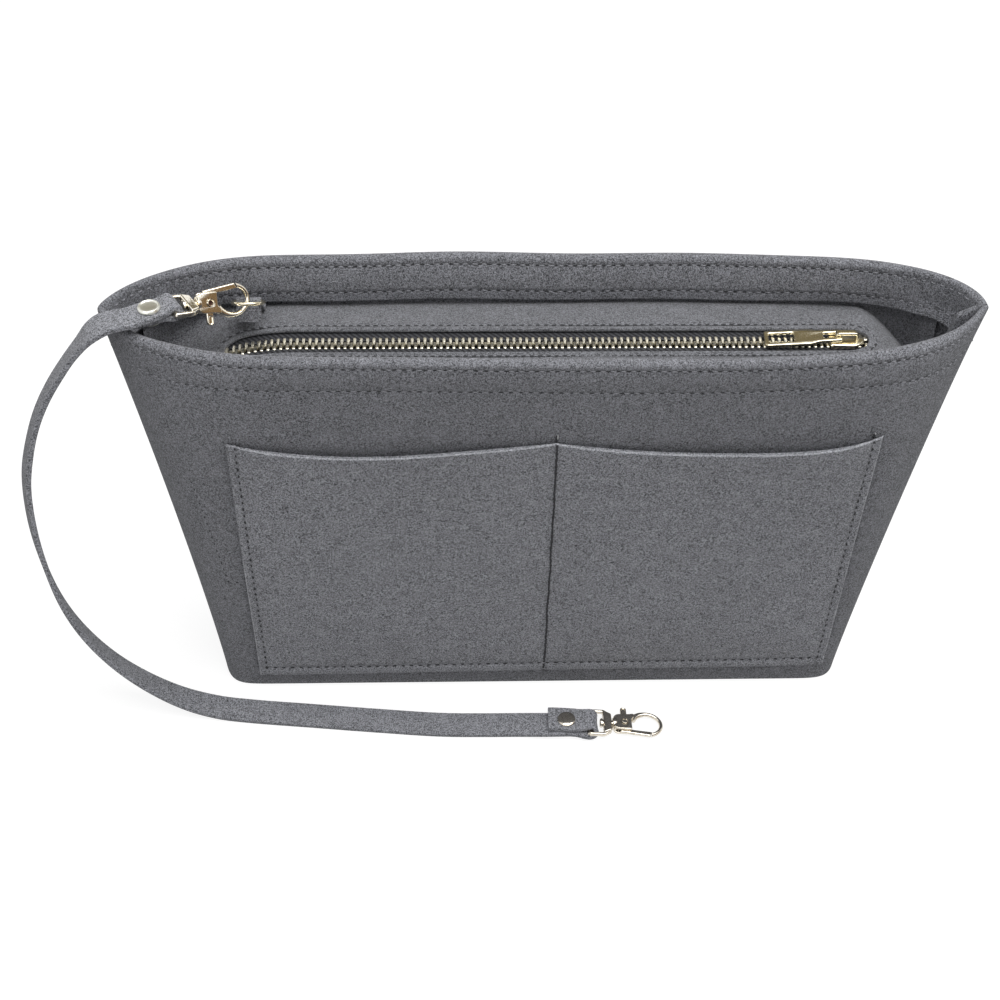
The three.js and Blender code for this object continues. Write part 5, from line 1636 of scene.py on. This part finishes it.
@dataclass(frozen=True)
class StrapEnd:
    """One end of the key strap: where its clasp's bar lies and the directions there."""

    eye: np.ndarray
    setback: float
    along: np.ndarray
    across: np.ndarray
    outer: np.ndarray
    tail_share: float
    tail_skew: float
    fold_skew: float

    @classmethod
    def at(cls, eye: np.ndarray, setback: float, ways: Sequence[Sequence[float]], hint: Sequence[float],
           lay: tuple[float, float, float]) -> StrapEnd:
        """Works out the directions from hints.

        Args:
            eye: middle of the clasp's bar.
            setback: distance of the rivet from it.
            ways: ways to the rivet, to the hook and along the bar.
            hint: side of the outer face.
            lay: width share of the tail, and how far tail and fold lie aslant.

        Returns:
            The strap end.
        """
        rivet_way, hook_way, bar_way = ways
        across = across_of(bar_way, np.asarray(hook_way))
        along = across_of(rivet_way, across)
        outer = unit(np.cross(across, along))
        return cls(eye, setback, along, across, outer * np.sign(outer @ np.asarray(hint)), *lay)


@dataclass
class KeyStrap:
    """Felt strap, folded round the eye of a clasp at both ends and held by rivets."""

    width: float = 12.0
    fold_width: float = 10.4
    fold_taper: float = 8.0
    felt: float = 2.2
    edge: float = 0.5
    fold_turn: float = 2.3
    laid_half: float = 1.25
    tail: float = 8.0
    lean: float = 24.0
    rivet_face: float = 2.5
    cap_diameter: float = 8.7
    cap_height: float = 1.5
    back_diameter: float = 7.9
    back_height: float = 1.3
    mouth_left: float = -172.0
    route: tuple[tuple[float, float, float], ...] = (
        (6, -16.6, 202.8), (0, -17.8, 199.2), (-5.2, -18.2, 193), (-10.6, -18.6, 185.6),
        (-19.2, -19.4, 172.2), (-26.1, -20.5, 158.3), (-31, -22.4, 144), (-34.4, -24.2, 129.3),
        (-35.7, -26.4, 110.2), (-34.7, -28.7, 90.3), (-30.4, -31.5, 65.3), (-23.4, -33.4, 46.6),
        (-12.6, -35.2, 29.6), (1, -37, 16.2), (16, -38.8, 6.8), (31, -40.6, 2.4),
        (46, -42.2, 1.3), (72, -45, 1.3), (102, -48.2, 1.3), (130, -50.8, 1.3),
        (150, -51.3, 1.3), (164, -51.6, 1.6),
    )

    def fold(self, end: StrapEnd) -> tuple[np.ndarray, np.ndarray]:
        """Middle line of one end, from the tail's end round the bar to where the strap leaves the tail.

        Args:
            end: the strap end.

        Returns:
            The points of the line and the strap's width there as a share of its full width.
        """
        out = np.linspace(end.setback + self.tail, 0.0, 19)
        bend = np.linspace(-math.pi / 2, math.pi / 2, 15)[1:-1]
        along = np.concatenate((out, -self.fold_turn * np.cos(bend), out[::-1]))
        laid = ease(out, 0.0, end.setback - self.cap_diameter / 2)
        half = self.fold_turn + (self.laid_half - self.fold_turn) * laid
        lift = np.concatenate((-half, self.fold_turn * np.sin(bend), half[::-1]))
        gathered = self.fold_width / self.width
        wide = gathered + (1 - gathered) * ease(along, 0.0, self.fold_taper)
        wide[:len(out)] *= 1 - (1 - end.tail_share) * ease(out, 0.0, 6.0)
        tail_skew = end.tail_skew * ease(out, 0.0, end.setback + self.tail)
        fold_skew = end.fold_skew * (1 - ease(out[::-1], 0.0, 9.0))
        skew = np.concatenate((tail_skew, fold_skew[0] * (np.sin(bend) + 1) / 2, fold_skew))
        places = end.eye + along[:, None] * end.along + lift[:, None] * end.outer
        return places + skew[:, None] * end.across, wide

    @staticmethod
    def smooth_line(knots: np.ndarray, steps: int) -> np.ndarray:
        """Smooth line through all knots but the first and last, which give the end directions."""
        points = []
        for before, start, end, after in zip(knots[:-3], knots[1:-2], knots[2:-1], knots[3:]):
            first, middle, last = (math.sqrt(np.linalg.norm(b - a))
                                   for a, b in ((before, start), (start, end), (end, after)))
            leave = (start - before) / first - (end - before) / (first + middle) + (end - start) / middle
            arrive = (end - start) / middle - (after - start) / (middle + last) + (after - end) / last
            for step in range(steps):
                t = step / steps
                points.append((2 * t**3 - 3 * t**2 + 1) * start + (t**3 - 2 * t**2 + t) * middle * leave
                              + (3 * t**2 - 2 * t**3) * end + (t**3 - t**2) * middle * arrive)
        return np.array([*points, knots[-2]])

    def rivet(self, end: StrapEnd, cap: bool, flat: bool = False) -> Shape:
        """Builds the domed or flat cap with its post, or the flatter back."""
        face = self.rivet_face
        if cap:
            radius, rise = self.cap_diameter / 2, self.cap_height
            crown = [(1.6, -face + 0.3), (1.6, face - 0.1), (radius - 0.35, face), (radius, face + 0.18),
                     (radius, face + 0.4 * rise), (radius * 0.965, face + 0.52 * rise)]
            if flat:
                crown += [(radius * 0.93, face + 0.86 * rise), (radius * 0.88, face + rise),
                          (radius * 0.8, face + 0.96 * rise), (radius * 0.76, face + 0.8 * rise),
                          (radius * 0.72, face + 0.76 * rise), (radius * 0.3, face + 0.78 * rise)]
            else:
                crown += [(radius * 0.95 * math.cos(turn), face + rise * (0.55 + 0.45 * math.sin(turn)))
                          for turn in np.linspace(0.2, 1.54, 10)]
        else:
            radius, rise = self.back_diameter / 2, self.back_height
            crown = [(radius * math.cos(turn), -face - rise * (0.25 + 0.75 * math.sin(turn)))
                     for turn in np.linspace(1.54, 0.0, 10)] + [(radius, -face - 0.1), (radius - 0.2, -face)]
        axes = np.stack((end.across, np.cross(end.outer, end.across), end.outer))
        return turned(crown).placed(end.eye + end.along * end.setback, axes)

    def build(self, bench: Bench, finishes: Finishes, near: StrapEnd, far: StrapEnd) -> bpy.types.Object:
        """Makes the strap and its rivets.

        Args:
            bench: where pieces are made.
            finishes: the materials.
            near: the end on the ring's clasp.
            far: the free end.

        Returns:
            The strap.
        """
        near_fold, near_wide = self.fold(near)
        far_fold, far_wide = (part[::-1] for part in self.fold(far))
        route = np.array(self.route) + np.array((self.mouth_left, 0.0, 0.0))
        knots = np.array([near_fold[-2], near_fold[-1], *route, far_fold[0], far_fold[1]])
        free = self.smooth_line(knots, 8)
        line = np.concatenate((near_fold[:-1], free, far_fold[1:]))
        share = np.arange(len(free)) / len(free)
        turn = ease(share, 0.0, 0.15)[:, None]
        twist = math.radians(self.lean) * (ease(share, 0.12, 0.45) - ease(share, 0.56, 0.76))
        hanging = np.stack((np.sin(twist), -np.cos(twist), np.zeros_like(twist)), axis=1)
        free_across = near.across * (1 - turn) + hanging * turn
        across = np.concatenate((np.tile(near.across, (len(near_fold) - 1, 1)), free_across,
                                 np.tile(far.across, (len(far_fold) - 1, 1))))
        tangents = np.gradient(line, axis=0)
        ups = np.cross(across, tangents)
        wide = np.concatenate((near_wide[:-1], np.ones(len(free)), far_wide[1:]))
        sizes = np.stack((wide, np.ones_like(wide)), axis=1)
        strap = bench.piece("strap_felt", swept(line, ups, strip_section(self.width, self.felt, self.edge), sizes),
                            finishes.pocket_felt, Slot.FELT, stands_for=("key_strap",))
        for name, end, material, slot in (("near", near, finishes.silver, Slot.GOLD),
                                          ("far", far, finishes.nickel, Slot.NICKEL)):
            bench.piece(f"{name}_rivet_dome", self.rivet(end, True, name == "near"), material, slot,
                        stands_for=(f"{name}_rivet_cap",), crease=50)
            bench.piece(f"{name}_rivet_foot", self.rivet(end, False), material, slot,
                        stands_for=(f"{name}_rivet_back",), crease=50)
        middle = len(near_fold) // 2
        path = np.concatenate((near_fold[middle:-1], free, far_fold[1:len(far_fold) - middle]))
        length = float(np.linalg.norm(np.diff(path, axis=0), axis=1).sum())
        self.path = path * MM
        self.length = length * MM
        return strap


@dataclass
class SwivelClasp:
    """Lobster clasp on a swivelling post, with a sprung gate and a thumb piece."""

    name: str
    room: float = 11.0
    bar: float = 2.2
    arm: float = 1.4
    web: float = 9.2
    shoulder_start: float = 6.1
    shoulder_end: float = 9.9
    body_start: float = 10.2
    body_end: float = 18.8
    pivot: float = 15.6
    oval_centre: float = 25.5
    oval_half_length: float = 7.6
    oval_half_width: float = 6.6
    wire: float = 1.8
    tip_angle: float = 70.0
    gate_thickness: float = 1.6
    gap: float = 0.3

    def frame(self, bench: Bench) -> tuple[np.ndarray, np.ndarray]:
        """Returns the eye's place and the clasp's own axes as rows, from the joints."""
        swivel = bench.joint(f"{self.name}_swivel")
        gate = bench.joint(f"{self.name}_gate_hinge")
        x = unit(swivel["axis"])
        z = across_of(-np.array(gate["axis"]), x)
        return np.array(swivel["pos_m"]) / MM, np.stack((x, np.cross(z, x), z))

    def eye(self) -> Shape:
        """Builds the eye that the strap folds round, with its web at the swivel."""
        wide, web = self.room / 2, self.web / 2
        outer = wide + self.arm
        outline = rounded([(-0.6, -outer), (self.shoulder_start + 0.6, -outer), (self.shoulder_end, -web),
                           (self.shoulder_end, web), (self.shoulder_start + 0.6, outer), (-0.6, outer)], 1.0, 4)
        hole = rounded([(0.3, -wide), (self.shoulder_start, -wide), (self.shoulder_start, wide), (0.3, wide)], 0.7, 4)
        plate = cut_plate([outline, hole], 2.2, 0.6, 3)
        block = rounded([(self.shoulder_start, -wide - 0.7), (self.shoulder_end, -web), (self.shoulder_end, web),
                         (self.shoulder_start, wide + 0.7)], 0.9, 4)
        line = np.array([(0.0, y, 0.0) for y in np.linspace(-outer + 0.6, outer - 0.6, 12)])
        bar = swept(line, np.array((0.0, 0.0, 1.0)), round_section(self.bar / 2, self.bar / 2, 16))
        return Shape.joined([plate, cut_plate([block], 3.5, 0.8, 4), bar])

    @staticmethod
    def along_x(shape: Shape) -> Shape:
        """Turns a body round Z so that its axis lies along X."""
        return Shape(shape.points[:, [2, 0, 1]], shape.faces)

    def oval_point(self, angle: float, inset: float) -> Flat:
        """Point of the hook's oval at an angle from its end."""
        turn = math.radians(angle)
        return (self.oval_centre + (self.oval_half_length - inset) * math.cos(turn),
                (self.oval_half_width - inset) * math.sin(turn))

    def hook(self) -> Shape:
        """Builds the swivel post, the cheeks of the body and the hook's bent wire."""
        head_start = self.shoulder_start - 1.5
        post = turned([(1.6, head_start), (2.1, head_start + 0.25), (2.2, head_start + 0.8),
                       (1.9, head_start + 1.2), (1.3, head_start + 1.25), (1.3, self.body_start + 0.6)], 24)
        barrel = turned([(2.2, self.body_start), (2.7, self.body_start + 0.25), (2.75, self.body_start + 0.9),
                         (2.5, self.body_start + 1.7)], 28)
        cheek = rounded([(self.body_start + 0.5, -2.7), (self.body_start + 1.9, -3.9), (self.pivot + 1.6, -4.1),
                         (self.body_end + 1.2, -4.6), (self.body_end + 1.4, -2.7), (self.body_end - 0.2, -1.4),
                         (self.body_end, 4.1), (self.body_start + 1.9, 4.0), (self.body_start + 0.5, 2.7)], 0.9, 4)
        plate = cut_plate([cheek, oval((self.pivot, 0.0), 1.35, 1.35, 24)], 1.1, 0.35, 3)
        parts = [self.along_x(post), self.along_x(barrel)]
        parts += [plate.placed((0, 0, side * 1.65), np.eye(3)) for side in (-1, 1)]
        root = cut_plate([rounded([(self.body_start + 0.5, -3.0), (self.body_start + 1.65, -3.7),
                                   (self.body_start + 1.65, 3.7), (self.body_start + 0.5, 3.0)], 0.6)], 3.2, 0.3)
        parts.append(root)
        angles = np.linspace(-158.0, self.tip_angle, 48)
        line = np.array([(*self.oval_point(angle, self.wire / 2), 0.0) for angle in angles])
        thick = 1.0 + 0.75 * (1 - ease(angles, -158.0, -70.0))
        sizes = np.stack((thick, 1.0 + 0.15 * (thick - 1.0)), axis=1)
        section = round_section(self.wire / 2, 1.05, 14)
        wire = swept(line, np.array((0.0, 0.0, 1.0)), section, sizes)
        self.slant(wire, len(section), line[-1] - line[-2])
        parts.append(wire)
        return Shape.joined(parts)

    @property
    def swing(self) -> float:
        """Distance of the gate's end from its pin, just inside the hook's tip."""
        tip_x, tip_y = self.oval_point(self.tip_angle, self.wire / 2)
        return math.hypot(tip_x - self.pivot, tip_y) - self.gap

    def slant(self, wire: Shape, count: int, way: np.ndarray) -> None:
        """Slides the last ring of the hook's wire along its way onto the circle that the gate's end swings on."""
        way = unit(way)
        for index in range(len(wire.points) - count, len(wire.points)):
            arm = wire.points[index] - np.array((self.pivot, 0.0, 0.0))
            arm[2] = 0.0
            along = float(arm @ way)
            room = along**2 - float(arm @ arm) + (self.swing + self.gap) ** 2
            wire.points[index] += way * (-along - math.sqrt(room))

    def gate(self) -> Shape:
        """Builds the gate's bar, its hub on the pin and the thumb piece."""
        rest = self.oval_point(self.tip_angle, 0)[1] + 0.21
        heel, thick = 4.73, 2.1
        tips = [(self.pivot + math.sqrt(self.swing**2 - y**2), y) for y in np.linspace(rest - thick, rest, 5)]
        outline = [(self.pivot - 2, heel - thick), *tips, (self.pivot - 2, heel)]
        bar = cut_plate([rounded(outline, 0.5)], self.gate_thickness, 0.5, 4)
        arm = rounded([(self.pivot - 2, -1.6), (self.pivot + 2, -1.6), (self.pivot + 2, 3.4), (self.pivot - 2, 3.4)],
                      1.4)
        groove = rounded([(self.pivot - 0.6, -5.2), (self.pivot - 0.6, -8.0), (self.pivot + 0.6, -8.0),
                          (self.pivot + 0.6, -5.2)], 0.55, 5)
        bore = oval((self.pivot, 0.0), 1.3, 1.3, 24)
        parts = [bar, cut_plate([arm, bore], self.gate_thickness, 0.3)]
        parts.append(cut_plate([self.thumb_outline(), groove], self.gate_thickness, 0.4, 3))
        floor = cut_plate([rounded([(self.pivot - 0.9, -4.9), (self.pivot - 0.9, -8.3), (self.pivot + 0.9, -8.3),
                                    (self.pivot + 0.9, -4.9)], 0.8, 5)], 0.8, 0.1)
        parts.append(floor)
        return Shape.joined(parts)

    def thumb_outline(self) -> list[Flat]:
        """Outline of the thumb piece, from the hub to its rounded end."""
        half = 1.4
        return rounded([(self.pivot - half, -1.35), (self.pivot - half, -8.7), (self.pivot + half, -8.7),
                        (self.pivot + half, -1.35)], 1.3, 6)

    def pin(self) -> Shape:
        """Builds the tubular pin with its rolled rims."""
        rim = [(0.75, 1.9), (0.8, 2.5), (1.05, 2.82), (1.3, 2.84), (1.45, 2.7), (1.45, 2.5), (1.0, 2.45)]
        lower = [(radius, -height) for radius, height in reversed(rim)]
        return turned(lower + [(1.0, -2.4), (1.0, 2.4)] + rim[::-1], 28)

    def build(self, bench: Bench, finishes: Finishes, material: bpy.types.Material, slot: Slot) -> list:
        """Makes the clasp's pieces at their places.

        Args:
            bench: where pieces are made.
            finishes: the materials.
            material: plating of the clasp.
            slot: slot of the plating.

        Returns:
            The pieces of the clasp.
        """
        place, axes = self.frame(bench)
        name = self.name
        eye_axes = axes
        if name == "near":
            across = across_of((0.3, -0.95, 0.1), axes[0])
            eye_axes = np.stack((axes[0], -across, np.cross(axes[0], -across)))
        pieces = [
            bench.piece(f"{name}_eye_cast", self.eye().placed(place, eye_axes), material, slot,
                        stands_for=(f"{name}_clasp_eye",)),
            bench.piece(f"{name}_hook_cast", self.hook().placed(place, axes), material, slot, f"{name}_hook",
                        (f"{name}_clasp_hook",)),
            bench.piece(f"{name}_gate_bar", self.gate().placed(place, axes), material, slot, f"{name}_gate",
                        (f"{name}_clasp_gate",)),
        ]
        pin = self.pin().placed(place + axes[0] * self.pivot, axes)
        pieces.append(bench.piece(f"{name}_pin_tube", pin, material, slot, f"{name}_hook", (f"{name}_clasp_pin",)))
        # Dark plug in the pin's bore, standing in for the shade inside the tube.
        painted_bore_shade = turned([(0.76, -2.2), (0.76, 2.2)], 20).placed(place + axes[0] * self.pivot, axes)
        pieces.append(bench.piece(f"{name}_pin_bore_shade", painted_bore_shade, finishes.painted_bore_shade, slot, f"{name}_hook"))
        spring = bench.frame["nodes"][f"{name}_clasp_spring"]
        spring.data.materials.clear()
        spring.data.materials.append(finishes.steel)
        return pieces


@dataclass
class Studio:
    """White floor, soft light and the photograph's camera."""

    camera_place: tuple[float, float, float] = (-40.4, -503.29, 599.2)
    target: tuple[float, float, float] = (-16.07, 0.0, 91.88)
    roll: float = 1.592
    lens: float = 60.05
    floor_size: float = 6.0
    lamp_place: tuple[float, float, float] = (0.35, -0.2, 1.75)
    lamp_size: float = 1.5
    lamp_power: float = 34.0
    fill_place: tuple[float, float, float] = (-0.8, -1.4, 0.8)
    fill_power: float = 6.5
    surround: float = 0.25
    floor_tone: float = 0.35
    seen_glow: float = 0.88
    seen_tone: float = 0.2

    def camera(self) -> None:
        """Makes the camera at the photograph's viewing angle."""
        data = bpy.data.cameras.new("photo_camera")
        data.lens = self.lens
        data.sensor_width = 36.0
        data.sensor_fit = "HORIZONTAL"
        data.clip_start = 0.01
        camera = bpy.data.objects.new("photo_camera", data)
        way = Vector(self.target) - Vector(self.camera_place)
        level = way.to_track_quat("-Z", "Y")
        camera.rotation_mode = "QUATERNION"
        camera.rotation_quaternion = level @ Quaternion((0.0, 0.0, 1.0), math.radians(self.roll))
        camera.location = Vector(self.camera_place) * MM
        bpy.context.scene.collection.objects.link(camera)
        bpy.context.scene.camera = camera

    def lamp(self, name: str, place: tuple[float, float, float], size: float, power: float) -> None:
        """Makes one soft square lamp that looks at the insert's middle."""
        data = bpy.data.lights.new(name, "AREA")
        data.shape = "SQUARE"
        data.size = size
        data.energy = power
        lamp = bpy.data.objects.new(name, data)
        lamp.location = place
        aim = Vector((0.0, 0.0, 0.1)) - Vector(place)
        lamp.rotation_mode = "QUATERNION"
        lamp.rotation_quaternion = aim.to_track_quat("-Z", "Y")
        bpy.context.scene.collection.objects.link(lamp)

    def floor(self) -> None:
        """Makes the white floor, which keeps the insert's shadow."""
        half = self.floor_size / 2
        mesh = bpy.data.meshes.new("studio_floor")
        mesh.from_pydata([(-half, -half, 0), (half, -half, 0), (half, half, 0), (-half, half, 0)], [], [(0, 1, 2, 3)])
        material = bpy.data.materials.new("studio_white")
        material.use_nodes = True
        desk = ShaderDesk(material.node_tree)
        lit = desk.add("ShaderNodeBsdfDiffuse", {"Color": (*(self.floor_tone,) * 3, 1.0)})
        shade = desk.add("ShaderNodeBsdfDiffuse", {"Color": (*(self.seen_tone,) * 3, 1.0)})
        glow = desk.add("ShaderNodeEmission", {"Strength": self.seen_glow})
        white = desk.add("ShaderNodeAddShader", {0: shade.outputs[0], 1: glow.outputs[0]})
        mix = desk.add("ShaderNodeMixShader", {0: self.seen(desk), 1: lit.outputs[0], 2: white.outputs[0]})
        desk.tree.links.new(mix.outputs[0], desk.tree.nodes["Material Output"].inputs["Surface"])
        desk.tree.nodes.remove(desk.tree.nodes["Principled BSDF"])
        mesh.materials.append(material)
        floor = bpy.data.objects.new("studio_floor", mesh)
        bpy.context.scene.collection.objects.link(floor)

    def world(self) -> None:
        """Makes an even grey-white surround that the camera sees as white."""
        world = bpy.data.worlds.new("studio_world")
        bpy.context.scene.world = world
        world.use_nodes = True
        desk = ShaderDesk(world.node_tree)
        light = world.node_tree.nodes["Background"]
        light.inputs["Color"].default_value = (1.0, 1.0, 1.0, 1.0)
        strength = desk.maths("ADD", desk.maths("MULTIPLY", self.seen(desk), 1.0 - self.surround), self.surround)
        world.node_tree.links.new(strength, light.inputs["Strength"])

    @staticmethod
    def seen(desk: ShaderDesk) -> bpy.types.NodeSocket:
        """Returns 1 for rays that show the background, straight, mirrored or through glass, and 0 for its light."""
        path = desk.add("ShaderNodeLightPath")
        first = desk.maths("MAXIMUM", path.outputs["Is Camera Ray"], path.outputs["Is Transmission Ray"])
        return desk.maths("MAXIMUM", first, path.outputs["Is Glossy Ray"])

    def card(self, name: str, corners: Sequence[tuple[float, float, float]], tone: tuple[float, float, float]) -> None:
        """Makes a dim card that shows in polished metal only."""
        mesh = bpy.data.meshes.new(name)
        mesh.from_pydata(list(corners), [], [(0, 1, 2, 3)])
        material = bpy.data.materials.new(name)
        material.use_nodes = True
        desk = ShaderDesk(material.node_tree)
        glow = desk.add("ShaderNodeEmission", {"Color": (*tone, 1.0)})
        desk.tree.links.new(glow.outputs[0], desk.tree.nodes["Material Output"].inputs["Surface"])
        desk.tree.nodes.remove(desk.tree.nodes["Principled BSDF"])
        mesh.materials.append(material)
        card = bpy.data.objects.new(name, mesh)
        card.visible_camera = False
        card.visible_diffuse = False
        card.visible_shadow = False
        bpy.context.scene.collection.objects.link(card)

    def build(self) -> None:
        """Makes camera, lamps, floor and surround."""
        self.camera()
        self.lamp("top_softbox", self.lamp_place, self.lamp_size, self.lamp_power)
        self.lamp("front_fill", self.fill_place, 1.2, self.fill_power)
        self.floor()
        self.world()
        self.card("front_card", [(-1.6, -1.3, 0.05), (1.6, -1.3, 0.05), (1.6, -1.3, 0.75), (-1.6, -1.3, 0.75)],
                  (0.03, 0.026, 0.02))
        self.card("right_card", [(1.5, -1.5, 0.1), (1.5, 0.1, 0.1), (1.5, 0.1, 1.0), (1.5, -1.5, 1.0)],
                  (0.22, 0.15, 0.085))
        self.card("back_card", [(-1.5, 1.4, 0.6), (1.5, 1.4, 0.6), (1.5, 1.4, 1.75), (-1.5, 1.4, 1.75)],
                  (0.2, 0.175, 0.12))
        self.card("top_card", [(-0.9, 0.9, 1.5), (0.9, 0.9, 1.5), (0.9, 0.5, 1.9), (-0.9, 0.5, 1.9)],
                  (0.03, 0.026, 0.02))
        bpy.context.scene.view_settings.view_transform = "Standard"


def main() -> None:
    """Builds the insert on its frame, piece by piece."""
    logging.basicConfig(level=logging.INFO, format="%(message)s")
    for left in list(bpy.data.objects):
        bpy.data.objects.remove(left)
    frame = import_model()
    bench = Bench(frame)
    finishes = Finishes()
    studio = Studio()
    studio.build()
    plan = BodyPlan()
    sewing = Stitching()
    FeltBody(plan).build(bench, finishes, sewing)
    FrontPocket(plan).build(bench, finishes, sewing)
    InnerPocket(plan).build(bench, finishes, sewing)
    flaps = ZipFlaps(plan)
    flaps.build(bench, finishes, sewing)
    zipper = Zipper(flaps)
    zipper.build(bench, finishes)
    SliderAndPull(zipper).build(bench, finishes)
    RingAndTab(flaps).build(bench, finishes)
    sewing.build(bench, finishes)
    near_clasp, far_clasp = SwivelClasp("near"), SwivelClasp("far")
    near_place, near_axes = near_clasp.frame(bench)
    far_place, far_axes = far_clasp.frame(bench)
    near_end = StrapEnd.at(near_place, 8.2, ((-0.88, -0.47, 0.01), near_axes[0], (0.3, -0.95, 0.1)), (0, 0, 1),
                           (0.84, -1.6, 0.0))
    far_end = StrapEnd.at(far_place, 10.3, ((-1, 0, -0.008), far_axes[0], (0, -1, 0)), (0, 0, -1),
                          (1.0, -1.2, 1.9))
    strap = KeyStrap()
    strip = strap.build(bench, finishes, near_end, far_end)
    near_clasp.build(bench, finishes, finishes.clasp_gold, Slot.GOLD)
    far_pieces = far_clasp.build(bench, finishes, finishes.nickel, Slot.NICKEL)
    tuple(strap.path[0])


if __name__ == "__main__":
    main()
